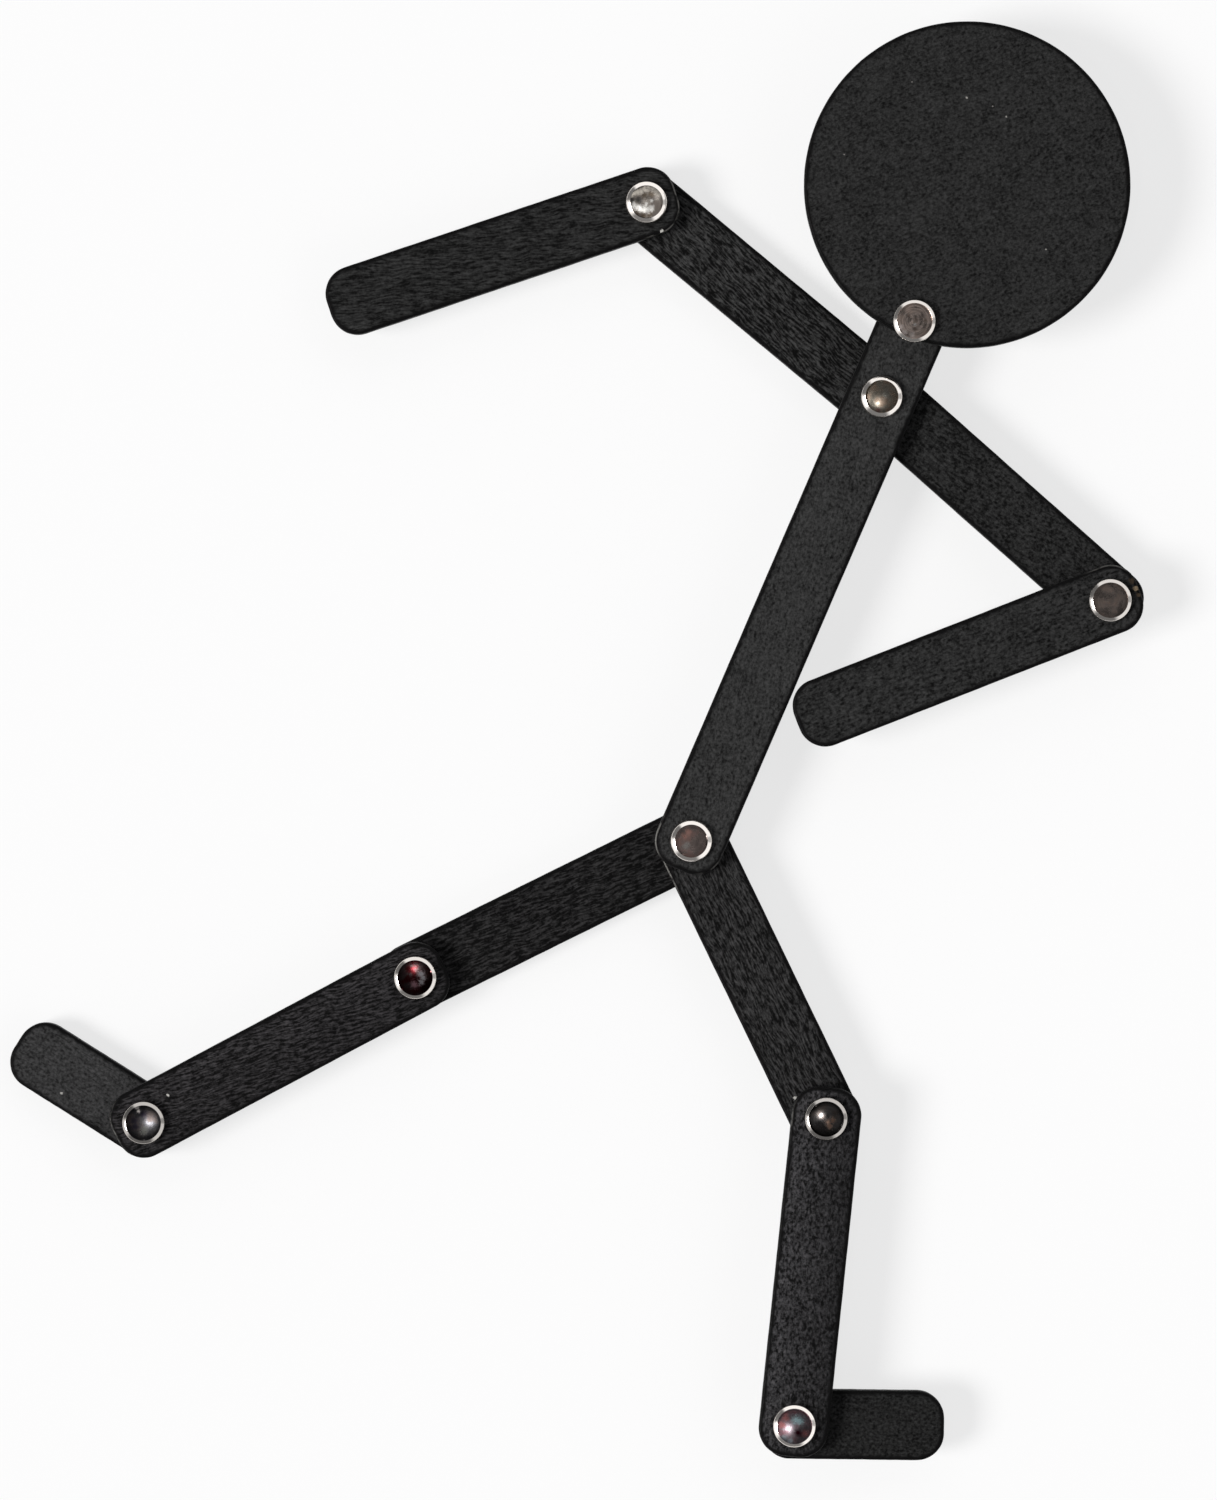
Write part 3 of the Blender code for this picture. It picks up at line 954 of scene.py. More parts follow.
@dataclass
class Strip(WoodenPlate):
    """A straight strip with rounded corners, measured on its solid."""

    half_length: float = 0.0
    half_width: float = 0.0

    CORNER_RADIUS = 5.2 * MM
    CORNER_POINTS = 18
    LONG_POINTS = 56
    SHORT_POINTS = 5

    @classmethod
    def measured(cls, solid: Object, away_from: Array, **fields: object) -> "Strip":
        """Reads a strip's place and size off its solid.

        The long direction is the first principal axis of the solid's points seen from above.

        Args:
            solid: The strip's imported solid.
            away_from: Point seen from above that the strip's direction leads away from.
            fields: The strip's other fields.

        Returns:
            The strip.
        """
        places = mesh_points(solid.data)
        middle = places[:, :2].mean(axis=0)
        direction = np.linalg.svd(places[:, :2] - middle, full_matrices=False)[2][0]
        direction = direction * np.sign(direction @ (middle - away_from))
        across = quarter_turn(direction)
        along_span = places[:, :2] @ direction
        across_span = places[:, :2] @ across
        centre = direction * (along_span.min() + along_span.max()) / 2
        centre = centre + across * (across_span.min() + across_span.max()) / 2
        return cls(
            centre=centre, direction=direction, floor=places[:, 2].min(), top=places[:, 2].max(),
            half_length=np.ptp(along_span) / 2, half_width=np.ptp(across_span) / 2, **fields,
        )

    def outline(self) -> tuple[Array, Array, Array]:
        """Gives a rounded rectangle: four quarter circles joined by straight runs.

        Returns:
            The outline's points, its outward normals and the nearest points of the middle line.
        """
        radius = self.CORNER_RADIUS
        corner = np.array([self.half_length - radius, self.half_width - radius])
        signs = np.array([[1, -1], [1, 1], [-1, 1], [-1, -1]])
        points, normals = [], []
        for turn, sign in enumerate(signs):
            normal = towards(np.linspace(-np.pi / 2, 0, self.CORNER_POINTS) + turn * np.pi / 2)
            arc = corner * sign + radius * normal
            following = corner * signs[(turn + 1) % 4] + radius * normal[-1]
            count = self.SHORT_POINTS if turn % 2 == 0 else self.LONG_POINTS
            share = np.linspace(0, 1, count + 2)[1:-1, None]
            points += [arc, arc[-1] * (1 - share) + following * share]
            normals += [normal, np.repeat(normal[-1:], count, axis=0)]
        edge = np.concatenate(points)
        reach = self.half_length - self.half_width
        middle = np.stack([np.clip(edge[:, 0], -reach, reach), np.zeros(len(edge))], axis=-1)
        return edge, np.concatenate(normals), middle

    def rim_distance(self, plan: Array) -> Array:
        """Gives how far points lie inside the rounded rectangle.

        Args:
            plan: Points in the piece's frame.

        Returns:
            A distance for each point, negative outside.
        """
        radius = self.CORNER_RADIUS
        past = np.abs(plan) - (np.array([self.half_length, self.half_width]) - radius)
        outside = np.linalg.norm(np.maximum(past, 0), axis=1)
        inside = np.minimum(past.max(axis=1), 0)
        return radius - outside - inside


@dataclass
class HeadDisc(WoodenPlate):
    """The round head, measured on its solid."""

    radius: float = 0.0

    POINTS = 240

    @classmethod
    def measured(cls, solid: Object, **fields: object) -> "HeadDisc":
        """Reads the disc's place and size off its solid.

        Args:
            solid: The disc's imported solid.
            fields: The disc's other fields.

        Returns:
            The disc.
        """
        places = mesh_points(solid.data)
        low, high = places.min(axis=0), places.max(axis=0)
        centre = (low[:2] + high[:2]) / 2
        return cls(centre=centre, floor=low[2], top=high[2], radius=np.ptp(places[:, 0]) / 2, **fields)

    def outline(self) -> tuple[Array, Array, Array]:
        """Gives a circle round the disc's centre, with that centre as its middle line."""
        normal = towards(way_round(self.POINTS))
        return self.radius * normal, normal, np.zeros((self.POINTS, 2))

    def rim_distance(self, plan: Array) -> Array:
        """Gives how far points lie inside the circle."""
        return self.radius - np.linalg.norm(plan, axis=1)


# Rivets

class RivetFace(Enum):
    """Form of a rivet's face in mm: its edge's drop below the rim and its middle's rise from there."""

    FLAT = (0.16, 0.01)
    DOMED = (0.3, 0.27)
    BALL = (0.36, 0.34)
    DISHED = (0.34, -0.21)
    SUNK = (0.46, 0.02)


class RimForm(Enum):
    """Form of a rivet's rim: its width and that of the steep bevel outside it, in mm."""

    SLIM = (0.59, 0.13)
    BROAD = (0.69, 0.26)


@dataclass
class Rivet:
    """A two-part rivet: a rimmed head on a post, and a flat cap on a hollow shank.

    The lean, its azimuth and the slopes are in degrees, and the heights of the pip and the swirl in mm.
    """

    place: str
    body: str
    plate: NickelPlate
    face: RivetFace
    lean: float = 0.0
    lean_azimuth: float = 0.0
    rim: RimForm = RimForm.SLIM
    pip: float = 0.0
    swirl: float = 0.0
    seed: int = 0

    HEAD_RADIUS = 4.0 * MM
    HEAD_HEIGHT = 1.15 * MM
    RIM_SLOPES = (22.0, 45.0)
    BEVEL_SLOPES = (56.0, 66.0)
    BEVEL_EASE = 0.03 * MM
    LIP_WIDTH = 0.04 * MM
    PIP_SHARE = 0.15
    SWIRL_PITCH = 2.2 * MM
    SWIRL_GAIN = 2.6
    EDGE_CHAMFER = 0.08 * MM
    POST_RADIUS = 0.8 * MM
    POST_TIP = 0.2 * MM
    CAP_HEIGHT = 1.3 * MM
    CAP_EDGE = 0.55 * MM
    CAP_FLOOR = 0.5 * MM
    SHANK_OUTER = 1.5 * MM
    SHANK_INNER = 1.1 * MM
    SKIN_INSET = 0.01 * MM
    RING_CORE = 0.4
    PATTERN_SHIFT = 17.0
    SHARP_BEND = 50.0
    TURN_POINTS = 96
    FACE_ROWS = 12
    LIP_ROWS = 5
    ROUND_ROWS = 8
    BACK_ROWS = 8

    def pattern_shift(self) -> float:
        """Gives how far the rivet's pattern is shifted, in mm, so that no two rivets look alike."""
        return self.PATTERN_SHIFT * self.seed

    def crest_radius(self) -> float:
        """Gives the radius of the rim's crest."""
        return self.HEAD_RADIUS - sum(self.rim.value) * MM

    def head_profile(self, low: float, top: float) -> tuple[Array, Array]:
        """Works out the head's profile from the middle of its face to the tip of its post.

        The face is a shallow parabola with a small bell curve, the pip, in its middle. A short lip
        climbs to the rim's crest, the rim falls away in a steepening arc, a steep bevel turns down to
        the side, and the underside runs in to the straight post.

        Args:
            low: Height of the post's tip.
            top: Height of the rim's crest.

        Returns:
            Radius and height, a value a row.
        """
        floor = top - self.HEAD_HEIGHT
        crest = self.crest_radius()
        face_edge = crest - self.LIP_WIDTH
        share = np.linspace(0, 1, self.FACE_ROWS)
        drop, rise = (part * MM for part in self.face.value)
        bulge = rise * (1 - share**2) + self.pip * MM * np.exp(-((share / self.PIP_SHARE) ** 2))
        climb = np.linspace(0, 1, self.LIP_ROWS)[1:]
        lip_height = top - drop * (0.5 + 0.5 * np.cos(np.pi * climb))
        rim_width, bevel_width = (part * MM for part in self.rim.value)
        start, end = np.radians(self.RIM_SLOPES)
        turn = np.linspace(start, end, self.ROUND_ROWS)[1:]
        round_radius = rim_width / (math.sin(end) - math.sin(start))
        rim_radius = crest + round_radius * (np.sin(turn) - math.sin(start))
        rim_height = top - round_radius * (math.cos(start) - np.cos(turn))
        bevel_steps = np.array([self.BEVEL_EASE, bevel_width - self.BEVEL_EASE])
        bevel_drop = np.cumsum(bevel_steps * np.tan(np.radians(self.BEVEL_SLOPES)))
        radius = np.concatenate([
            face_edge * share, face_edge + self.LIP_WIDTH * climb,
            rim_radius, rim_radius[-1] + np.cumsum(bevel_steps),
            [self.HEAD_RADIUS, self.HEAD_RADIUS - self.EDGE_CHAMFER],
            [self.POST_RADIUS, self.POST_RADIUS, self.POST_RADIUS - self.POST_TIP, 0.0],
        ])
        height = np.concatenate([
            top - drop + bulge, lip_height, rim_height, rim_height[-1] - bevel_drop,
            [floor + self.EDGE_CHAMFER, floor],
            [floor, low + self.POST_TIP, low, low],
        ])
        return radius, height

    def cap_profile(self, low: float, top: float) -> tuple[Array, Array]:
        """Works out the cap's profile from inside its shank, over its edge, to the middle of its back.

        Args:
            low: Height of the cap's back.
            top: Height of the shank's lip.

        Returns:
            Radius and height, a value a row.
        """
        turn = np.linspace(0, np.pi / 2, self.ROUND_ROWS)
        edge_radius = self.HEAD_RADIUS - self.CAP_EDGE * (1 - np.cos(turn))
        edge_height = low + self.CAP_EDGE * (1 - np.sin(turn))
        cap_top = low + self.CAP_HEIGHT
        back = np.linspace(self.HEAD_RADIUS - self.CAP_EDGE, 0, self.BACK_ROWS)[1:]
        radius = np.concatenate([
            [0.0, self.SHANK_INNER, self.SHANK_INNER, self.SHANK_OUTER, self.SHANK_OUTER],
            [self.HEAD_RADIUS - self.EDGE_CHAMFER, self.HEAD_RADIUS],
            edge_radius, back,
        ])
        height = np.concatenate([
            [low + self.CAP_FLOOR, low + self.CAP_FLOOR, top, top, cap_top],
            [cap_top, cap_top - self.EDGE_CHAMFER],
            edge_height, np.full(len(back), low),
        ])
        return radius, height

    def leaning(self, radius: Array, height: Array) -> Array:
        """Leans the face inside the rim and gives it its swirl.

        The face leans by losing height in proportion to the way along the lean's azimuth. The swirl
        lifts it in one sine arm that winds round with the radius. It dies out at the middle and at the
        rim, as the share of the way out less its cube does, and the gain brings that curve's peak to 1.

        Args:
            radius: The profile's radii.
            height: The profile's heights.

        Returns:
            Heights, as columns round the axis by rows of the profile.
        """
        angle = way_round(self.TURN_POINTS)[:, None]
        on_face = np.arange(len(radius)) < self.FACE_ROWS
        along = radius * np.cos(angle - math.radians(self.lean_azimuth))
        leant = height - math.tan(math.radians(self.lean)) * along * on_face
        share = np.minimum(radius / radius[self.FACE_ROWS - 1], 1)
        arm = np.sin(FULL_TURN * radius / self.SWIRL_PITCH + angle)
        return leant + self.swirl * MM * arm * self.SWIRL_GAIN * share * (1 - share**2) * on_face

    def build_half(self, node: str, profile: Profile, leans: bool, material: Material) -> Object:
        """Makes one half of the rivet, dresses it and sets it on its body.

        Args:
            node: The half's solid.
            profile: Method that gives the half's profile between two heights.
            leans: Whether the half's face leans.
            material: The finish.

        Returns:
            The finished half.
        """
        low, high = (np.array(corner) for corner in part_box(node))
        centre = (low[:2] + high[:2]) / 2
        radius, height = profile(low[2], high[2])
        radius = np.maximum(radius - self.SKIN_INSET, 0)
        rise = self.leaning(radius, height) if leans else height
        name = f"{node}_metal"
        mesh = closed_mesh(name, turn_round(centre, radius, rise, self.TURN_POINTS))
        away = (mesh_points(mesh) - np.array([*centre, low[2]])) / MM
        distance = np.linalg.norm(away[:, :2], axis=1)[:, None]
        around = away[:, :2] / np.maximum(distance, self.RING_CORE)
        store_attribute(mesh, TURNED_PLACE, np.concatenate([around, distance], axis=1))
        store_attribute(mesh, GRAIN_PLACE, away + self.pattern_shift())
        mesh.materials.append(material)
        return show(name, mesh, node, self.body, self.SHARP_BEND)

    def build(self, effects: SharedEffects, cap_finish: Material) -> list[Object]:
        """Makes both halves of the rivet.

        Args:
            effects: The shared node groups.
            cap_finish: The plain finish of every cap.

        Returns:
            The head and the cap.
        """
        node = f"{self.place}_rivet"
        low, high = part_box(node)
        middle = np.array([0.0, 0.0, (high[2] - low[2]) / MM]) + self.pattern_shift()
        finish = self.plate.material(f"{self.place}_nickel", effects, middle, self.crest_radius() / MM)
        head = self.build_half(node, self.head_profile, True, finish)
        cap = self.build_half(f"{node}_cap", self.cap_profile, False, cap_finish)
        return [head, cap]


# The figure

@dataclass
class StickFigure:
    """The whole figure: which piece each strip is, what pierces it and how it is dressed."""

    frame: dict
    effects: SharedEffects
    pieces: list[Object] = field(default_factory=list)

    def joint_place(self, joint: str) -> Array:
        """Gives a joint's axis seen from above."""
        places = {entry["name"]: entry["pos_m"] for entry in self.frame["joints"]}
        return np.array(places[joint][:2])

    def keep(self, piece: Object) -> None:
        """Adds a finished piece and reports it."""
        self.pieces.append(piece)
        LOG.info("%s: %d faces", piece.name, len(piece.data.polygons))

    def strip(
        self, node: str, joints: tuple[str, ...], finish: StainedWood, *rubbed: EdgeWearAndHighlight
    ) -> None:
        """Makes one strip, pierced at its joints, the first of which it leads away from.

        Args:
            node: The strip's solid, which names its body too.
            joints: The joints whose rivets go through it.
            finish: Its finish.
            rubbed: Its stretches of edge painted pale, as wear and painted highlight.
        """
        holes = [self.joint_place(joint) for joint in joints]
        strip = Strip.measured(
            self.frame["nodes"][node], holes[0], node=node, body=node, finish=finish,
            seed=len(self.pieces) + 1, holes=holes, rubbed=rubbed,
        )
        self.keep(strip.build(self.effects))

    def build_head(self) -> None:
        """Makes the head."""
        flecks = (
            Fleck((72.1, 119.0), 0.26, FAINT_DUST),
            Fleck((79.4, 115.5), 0.2, FAINT_DUST),
            Fleck((86.7, 91.0), 0.18, FAINT_DUST),
            Fleck((62.0, 121.9), 0.18, DIM_DUST),
            Fleck((49.5, 108.5), 0.18, DIM_DUST),
            Fleck((76.9, 117.4), 0.17, DIM_DUST),
        )
        head = HeadDisc.measured(
            self.frame["nodes"]["head"], node="head", body="head", seed=len(self.pieces) + 1,
            holes=[self.joint_place("neck")],
            finish=StainedWood(grey(0.0188), WoodFigure.MOTTLED, 20.0, flecks=flecks),
        )
        self.keep(head.build(self.effects))

    def build_strips(self) -> None:
        """Makes the torso and the limbs."""
        # The pale stretches of edge are partly rubbed wear and partly painted highlights on eased edges
        # that face the lamp
        self.strip(
            "torso", ("left_hip", "left_shoulder", "neck"),
            StainedWood(grey(0.027), WoodFigure.MOTTLED, 8.0, 0.87),
            EdgeWearAndHighlight((14.4, -17.2), 3.4),
            EdgeWearAndHighlight((26.2, -23.6), 3.4, 0.4),
        )
        self.strip(
            "left_upper_arm", ("left_shoulder", "left_elbow"),
            StainedWood(grey(0.0185), WoodFigure.STROKED, -5.0, 1.7),
        )
        self.strip(
            "left_forearm", ("left_elbow",),
            StainedWood(grey(0.0158), WoodFigure.STROKED, -14.0, flecks=(Fleck((15.9, 94.9), 0.42),)),
            EdgeWearAndHighlight((19.5, 101.0), 4.5, 0.8),
            EdgeWearAndHighlight((16.5, 94.5), 3.0, 0.7),
        )
        self.strip(
            "right_upper_arm", ("right_shoulder", "right_elbow"),
            StainedWood(grey(0.0148), WoodFigure.FLECKED, 12.0, 1.15),
        )
        bared_wood = (
            Fleck((103.6, 28.5), 0.62, (0.2, 0.15, 0.095), 0.1),
            Fleck((102.8, 29.9), 0.7, (0.032, 0.023, 0.016), 0.08),
            Fleck((104.1, 27.3), 0.55, (0.05, 0.036, 0.024), 0.08),
        )
        self.strip(
            "right_forearm", ("right_elbow",),
            StainedWood(grey(0.0193), WoodFigure.FLECKED, contrast=0.9, flecks=bared_wood),
            EdgeWearAndHighlight((98.5, 32.0), 3.5, 0.45),
        )
        self.strip(
            "left_thigh", ("left_hip", "left_knee"),
            StainedWood((0.0106, 0.0103, 0.0105), WoodFigure.STROKED, -6.0, 1.8),
        )
        speck = Fleck((-75.7, -65.4), 0.35)
        self.strip(
            "left_shin", ("left_knee", "left_ankle"),
            StainedWood((0.0165, 0.0155, 0.0164), WoodFigure.STROKED, -12.0, 1.5, -0.03, (speck,)),
            EdgeWearAndHighlight((-85.5, -71.5), 4.0, 0.7),
        )
        speck = Fleck((-95.7, -65.2), 0.3, (0.36, 0.35, 0.33))
        self.strip(
            "left_foot", ("left_ankle",),
            StainedWood((0.0323, 0.032, 0.0325), WoodFigure.MOTTLED, contrast=0.8, flecks=(speck,)),
        )
        speck = Fleck((40.6, -65.9), 0.4)
        self.strip(
            "right_thigh", ("right_hip", "right_knee"),
            StainedWood((0.0176, 0.0173, 0.0175), WoodFigure.STROKED, contrast=1.5, flecks=(speck,)),
            EdgeWearAndHighlight((16.4, -23.5), 4.6),
        )
        self.strip(
            "right_shin", ("right_knee", "right_ankle"),
            StainedWood((0.0216, 0.0209, 0.0221), WoodFigure.FLECKED, contrast=1.3, side_drift=-0.075),
            EdgeWearAndHighlight((40.0, -69.0), 2.6, 0.45),
        )
        self.strip(
            "right_foot", ("right_ankle",),
            StainedWood(grey(0.0125), WoodFigure.MOTTLED, contrast=1.3),
        )

    def build_rivets(self) -> None:
        """Makes the rivets, each with the face and the polish that it has worn to."""
        # Each face's tone, tarnish and patches partly paint the reflections and highlights that the room
        # and the lamps give it
        rivets = [
            Rivet("neck", "torso", NickelPlate(
                (0.68, 0.56, 0.5), 0.3, (0.36, 0.26, 0.21), 0.5, (
                    TarnishAndReflectionPatch(0.9, (0.95, 0.83, 0.78), ((-1.9, -2.2), (-0.5, -2.6), (-2.6, -1.2))),
                    TarnishAndReflectionPatch(0.6, (0.34, 0.26, 0.22), (
                        (-1.1, 0.9), (0.25, 0.1), (2.0, 0.1), (0.1, -1.5),
                    )),
                    TarnishAndReflectionPatch(0.45, (1.0, 0.95, 0.92), ((0.05, -0.75),)),
                ), painted_rim_shade=0.95, ring_depth=0.4,
            ), RivetFace.FLAT, pip=0.035),
            Rivet("shoulder", "torso", NickelPlate(
                (0.7, 0.62, 0.51), 0.22, (0.4, 0.24, 0.16), 0.6, (
                    TarnishAndReflectionPatch(1.1, (0.8, 0.76, 0.66), ((0.7, 0.4),)),
                    TarnishAndReflectionPatch(0.8, (0.3, 0.17, 0.15), ((-0.7, -2.5),)),
                ), rim_polish=0.95,
            ), RivetFace.BALL, 3.6, 206.0, RimForm.BROAD),
            Rivet("hip", "torso", NickelPlate(
                (0.25, 0.2, 0.185), 0.27, (0.25, 0.14, 0.12), 0.6, (
                    TarnishAndReflectionPatch(1.0, (0.36, 0.33, 0.31), ((-0.9, -0.8),)),
                    TarnishAndReflectionPatch(1.0, (0.44, 0.25, 0.21), ((-1.2, 0.9), (-0.6, 1.6))),
                ), rim_polish=1.0,
            ), RivetFace.FLAT, 1.0, 120.0, RimForm.BROAD),
            # The left elbow's bright crescents and dark bands are painted reflections
            Rivet("left_elbow", "left_upper_arm", NickelPlate(
                (0.19, 0.17, 0.152), 0.27, tarnish_and_reflection_share=0.1, patches=(
                    TarnishAndReflectionPatch(1.2, (0.06, 0.056, 0.052), ((-2.7, 0.3), (-1.5, 0.4))),
                    TarnishAndReflectionPatch(1.1, (0.09, 0.072, 0.055), ((-0.4, 1.3), (0.8, 1.4))),
                    TarnishAndReflectionPatch(0.9, (0.1, 0.076, 0.055), ((-1.7, -2.1), (-0.6, -2.5), (0.6, -2.3))),
                    TarnishAndReflectionPatch(1.0, (0.7, 0.68, 0.645), (
                        (-2.4, -0.6), (-1.8, -0.9), (-1.2, -1.15),
                        (-0.5, -1.35), (0.2, -1.4), (0.9, -1.2),
                    )),
                    TarnishAndReflectionPatch(0.5, (0.6, 0.58, 0.55), ((0.0, -0.45), (1.0, 0.25))),
                    TarnishAndReflectionPatch(0.8, (0.62, 0.57, 0.5), (
                        (-2.8, 1.4), (-2.2, 1.65), (-1.6, 1.8), (-1.0, 1.95), (-0.4, 2.3),
                    )),
                    TarnishAndReflectionPatch(0.8, (0.42, 0.385, 0.34), (
                        (0.4, 2.6), (1.2, 2.4), (1.9, 1.9), (2.4, 1.3),
                    )),
                    TarnishAndReflectionPatch(0.5, (0.02, 0.015, 0.01), ((-2.1, 2.45), (-1.5, 2.7), (-0.9, 2.9))),
                ), rim_polish=1.0, painted_rim_shade=0.9,
            ), RivetFace.SUNK, 7.5, 246.0, RimForm.BROAD, swirl=0.008),
            Rivet("right_elbow", "right_upper_arm", NickelPlate(
                (0.37, 0.31, 0.28), 0.3, tarnish_and_reflection_share=0.5, rim_polish=0.76,
            ), RivetFace.FLAT),
            Rivet("left_knee", "left_thigh", NickelPlate(
                (0.1, 0.014, 0.017), 0.125, (0.09, 0.075, 0.075), 0.8, (
                    TarnishAndReflectionPatch(1.3, (0.2, 0.11, 0.13), ((-0.1, -1.3),), 0.2),
                    TarnishAndReflectionPatch(1.0, (0.24, 0.23, 0.245), ((1.2, 0.6), (1.5, 0.0), (1.2, -0.8)), 0.2),
                ),
            ), RivetFace.DISHED, 3.4, 122.0),
            Rivet("right_knee", "right_thigh", NickelPlate(
                (0.42, 0.39, 0.38), 0.13, (0.3, 0.22, 0.18), 0.5, (
                    TarnishAndReflectionPatch(1.1, (0.3, 0.19, 0.14), ((0.4, -0.6), (1.2, -0.3), (0.6, -1.3)), 0.2),
                    TarnishAndReflectionPatch(0.5, (0.62, 0.42, 0.32), ((0.3, -0.62),)),
                ), rim_polish=0.56, painted_rim_shade=0.25,
            ), RivetFace.BALL, 2.8, 233.0),
            Rivet("left_ankle", "left_shin", NickelPlate(
                (0.18, 0.175, 0.185), 0.18, patches=(
                    TarnishAndReflectionPatch(1.3, (0.24, 0.24, 0.22), ((0.1, -1.6),), 0.12),
                    TarnishAndReflectionPatch(1.3, (0.08, 0.07, 0.1), ((-1.7, 0.4), (-1.6, -0.7), (-0.1, 1.7))),
                    TarnishAndReflectionPatch(0.6, (0.8, 0.74, 0.7), ((-1.1, 2.8), (-0.9, 2.2)), 0.25),
                ), rim_polish=0.56, painted_rim_shade=0.45,
            ), RivetFace.DISHED, 3.7, 12.0),
            Rivet("right_ankle", "right_shin", NickelPlate(
                (0.48, 0.39, 0.43), 0.21, (0.34, 0.08, 0.1), 0.6, (
                    TarnishAndReflectionPatch(1.2, (0.55, 0.22, 0.22), ((1.9, -1.3), (-1.6, 1.6), (-2.4, 0.3)), 0.06),
                    TarnishAndReflectionPatch(1.3, (0.6, 0.85, 0.9), ((0.3, 1.2), (1.1, 1.0)), 0.1),
                    TarnishAndReflectionPatch(1.0, (0.7, 0.75, 0.82), ((-1.9, -2.2), (-0.8, -2.7))),
                    TarnishAndReflectionPatch(1.1, (0.1, 0.0, 0.02), ((0.7, -1.2),)),
                ), rim_polish=1.0, painted_rim_shade=0.9,
            ), RivetFace.DOMED, 4.8, 109.0),
        ]
        plain = NickelPlate(roughness=0.24, rim_polish=0.68, painted_rim_shade=1.0)
        cap_rim = (Rivet.HEAD_RADIUS - Rivet.CAP_EDGE) / MM
        cap_finish = plain.material("cap_nickel", self.effects, np.zeros(3), cap_rim)
        for number, rivet in enumerate(rivets):
            rivet.seed = number
            for half in rivet.build(self.effects, cap_finish):
                self.keep(half)


# The studio

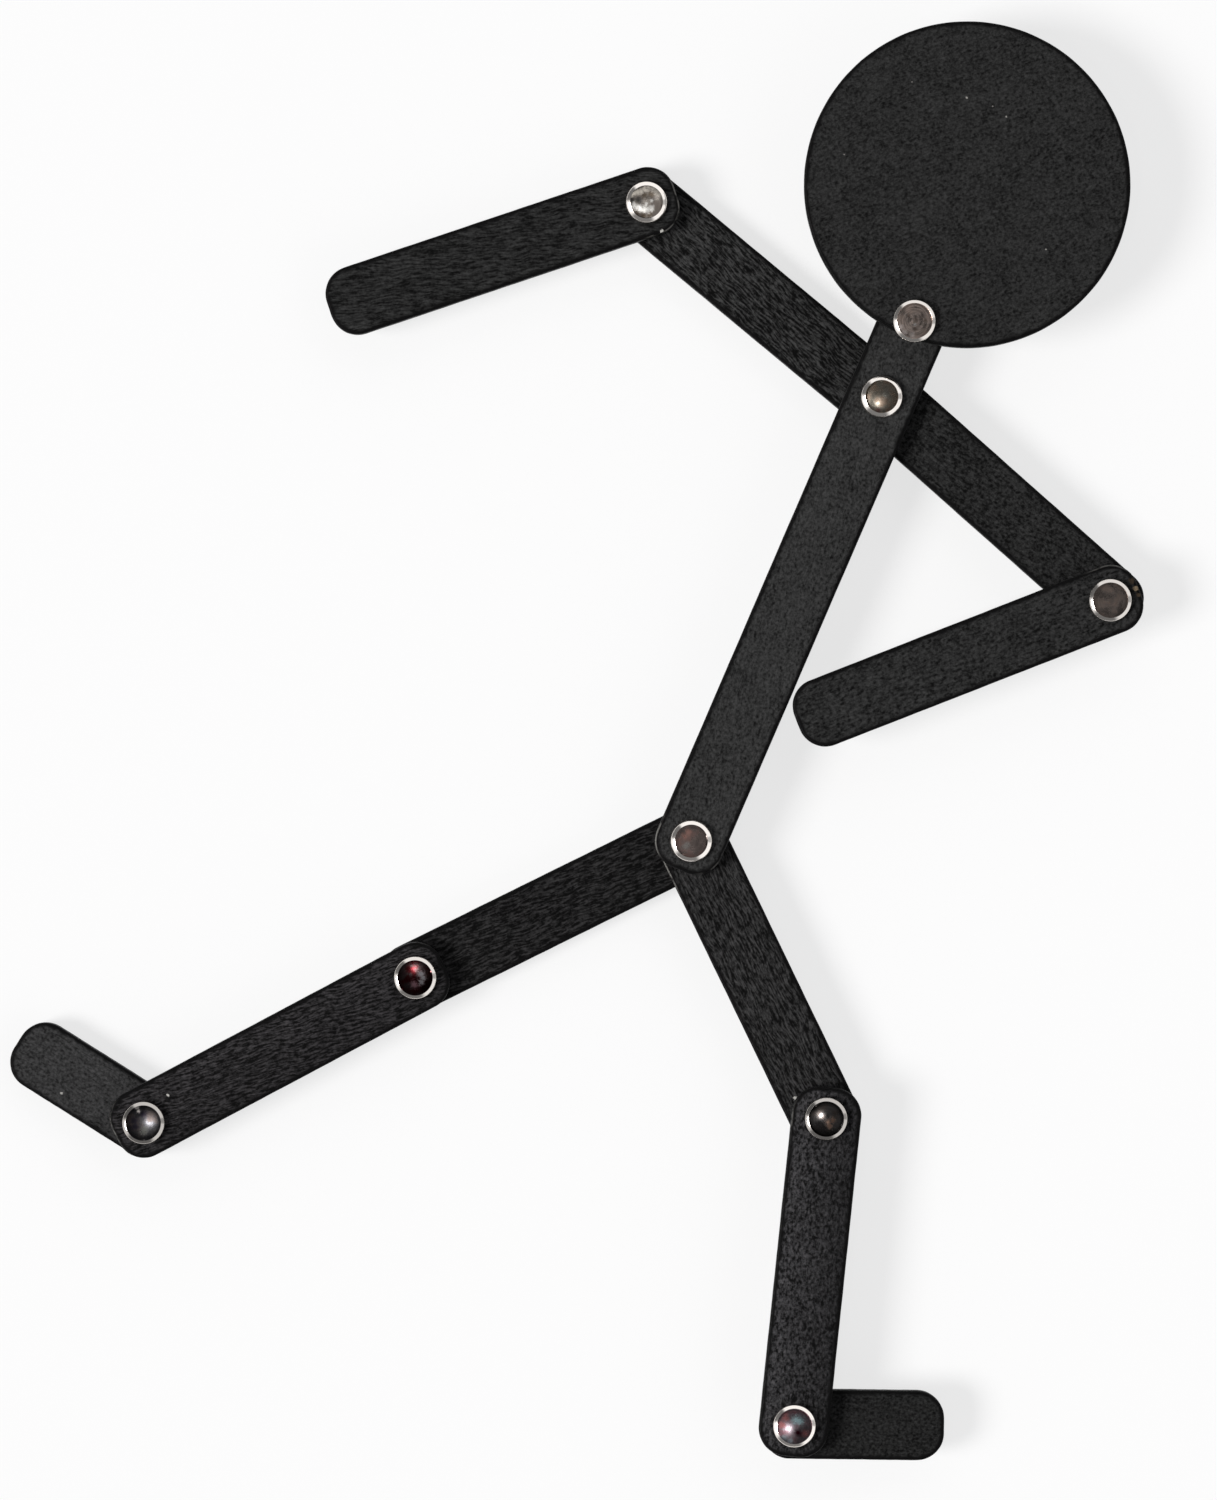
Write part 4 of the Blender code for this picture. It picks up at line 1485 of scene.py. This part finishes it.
@dataclass(frozen=True)
class Studio:
    """A white table top, light from the walls, a soft lamp from the left and a camera overhead.

    Lengths are in metres, angles in degrees, and the lens and the sensor in mm.
    """

    camera_place: tuple[float, float, float] = (6.0 * MM, -1.37 * MM, 1300 * MM)
    lens: float = 167.2
    sensor: float = 36.0
    view_reach: float = 20.0
    floor_tone: Colour = (0.93, 0.93, 0.935)
    floor_glow: Colour = (1.0, 1.0, 1.0)
    floor_lift: float = 0.72
    floor_size: float = 6.0
    floor_depth: float = 0.02 * MM
    sky_tone: Colour = (0.98, 0.985, 1.0)
    sky_strength: float = 0.825
    mirrored_strength: float = 0.98
    zenith_span: tuple[float, float] = (0.7, 0.9)
    zenith_share: float = 0.047
    wall_gaps: tuple[tuple[float, float, float], ...] = (
        (149.0, 29.0, 0.16),
        (-104.0, 47.0, 0.2),
        (4.0, 11.0, 0.45),
    )
    gap_core: float = 0.6
    key_tone: Colour = (1.0, 0.992, 0.98)
    key_strength: float = 2.75
    key_elevation: float = 42.5
    key_azimuth: float = 193.0
    key_softness: float = 22.0
    spot_power: float = 0.27
    spot_size: float = 0.075
    spot_distance: float = 1.0
    spot_from_zenith: float = 9.0
    spot_azimuth: float = 225.0

    def build_floor(self) -> None:
        """Lays the table top, which looks whiter than it lights and is clear from below."""
        reach = np.array([-1.0, 1.0]) * self.floor_size / 2
        side, depth = np.meshgrid(reach, reach, indexing="ij")
        places = np.stack([side, depth, np.full_like(side, -self.floor_depth)], axis=-1).reshape(-1, 3)
        mesh = bpy.data.meshes.new("table_top")
        mesh.from_pydata(places.tolist(), [], [(0, 2, 3, 1)])
        material = bpy.data.materials.new("table_white")
        desk = NodeDesk.on(material)
        paint = desk.add("ShaderNodeBsdfDiffuse", {"Color": rgba(self.floor_tone)})
        glow = desk.add("ShaderNodeEmission", {"Color": rgba(self.floor_glow), "Strength": 1.0})
        ray = desk.add("ShaderNodeLightPath").outputs
        seen = desk.math("MAXIMUM", ray["Is Camera Ray"], ray["Is Glossy Ray"])
        share = desk.math("MULTIPLY", seen, self.floor_lift)
        white = desk.add("ShaderNodeMixShader", {0: share, 1: paint.outputs[0], 2: glow.outputs[0]})
        clear = desk.add("ShaderNodeBsdfTransparent")
        below = desk.add("ShaderNodeNewGeometry").outputs["Backfacing"]
        shader = desk.add("ShaderNodeMixShader", {0: below, 1: white.outputs[0], 2: clear.outputs[0]})
        desk.add("ShaderNodeOutputMaterial", {"Surface": shader.outputs[0]})
        mesh.materials.append(material)
        put_in_scene("table_top", mesh)

    def build_sky(self) -> None:
        """Lights the room from its walls, brighter where mirrored, with a dark ceiling and dim gaps.

        A gap is its middle and half its width in degrees of azimuth, and the share of light left in it.
        """
        world = bpy.data.worlds.new("studio_room")
        desk = NodeDesk.on(world)
        way = desk.add("ShaderNodeTexCoord").outputs["Generated"]
        parts = desk.add("ShaderNodeSeparateXYZ", {0: way}).outputs
        light = desk.ramp(parts[2], *self.zenith_span, 1.0, self.zenith_share)
        azimuth = desk.math("ARCTAN2", parts[1], parts[0])
        for middle, half_width, left_over in self.wall_gaps:
            away = desk.math("ABSOLUTE", desk.math("SUBTRACT", azimuth, math.radians(middle)))
            core, end = math.radians(half_width * self.gap_core), math.radians(half_width)
            light = desk.math("MULTIPLY", light, desk.ramp(away, core, end, left_over, 1.0))
        mirrored = desk.add("ShaderNodeLightPath").outputs["Is Glossy Ray"]
        boost = self.mirrored_strength - self.sky_strength
        level = desk.math("MULTIPLY_ADD", mirrored, boost, self.sky_strength)
        strength = desk.math("MULTIPLY", light, level)
        shader = desk.add("ShaderNodeBackground", {"Color": rgba(self.sky_tone), "Strength": strength})
        desk.add("ShaderNodeOutputWorld", {"Surface": shader.outputs[0]})
        bpy.context.scene.world = world

    def build_lamps(self) -> None:
        """Hangs the soft key lamp at the left and a small lamp near the camera for the glints."""
        key = bpy.data.lights.new("key_lamp", "SUN")
        key.energy = self.key_strength
        key.angle = math.radians(self.key_softness)
        key.color = self.key_tone
        tilt, turn = math.radians(90 - self.key_elevation), math.radians(self.key_azimuth)
        put_in_scene("key_lamp", key).rotation_euler = (0.0, tilt, turn)
        spot = bpy.data.lights.new("glint_lamp", "AREA")
        spot.shape = "DISK"
        spot.size = self.spot_size
        spot.energy = self.spot_power
        tilt, turn = math.radians(self.spot_from_zenith), math.radians(self.spot_azimuth)
        glint = put_in_scene("glint_lamp", spot)
        glint.location = (
            self.spot_distance * math.sin(tilt) * math.cos(turn),
            self.spot_distance * math.sin(tilt) * math.sin(turn),
            self.spot_distance * math.cos(tilt),
        )
        glint.rotation_euler = (0.0, tilt, turn)

    def build_camera(self) -> None:
        """Sets the camera straight above the figure."""
        lens = bpy.data.cameras.new("overhead_camera")
        lens.sensor_fit = "VERTICAL"
        lens.sensor_height = self.sensor
        lens.lens = self.lens
        lens.clip_end = self.view_reach
        camera = put_in_scene("overhead_camera", lens)
        camera.location = self.camera_place
        bpy.context.scene.camera = camera

    def build(self) -> None:
        """Sets up the floor, the light, the camera and the plain view transform."""
        self.build_floor()
        self.build_sky()
        self.build_lamps()
        self.build_camera()
        bpy.context.scene.view_settings.view_transform = "Standard"


def main() -> None:
    """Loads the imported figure, dresses it and sets up the studio."""
    logging.basicConfig(level=logging.INFO, format="%(name)s %(message)s")
    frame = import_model()
    figure = StickFigure(frame, SharedEffects.build())
    figure.build_head()
    figure.build_strips()
    figure.build_rivets()
    Studio().build()
    LOG.info("%d pieces dressed", len(figure.pieces))


if __name__ == "__main__":
    main()
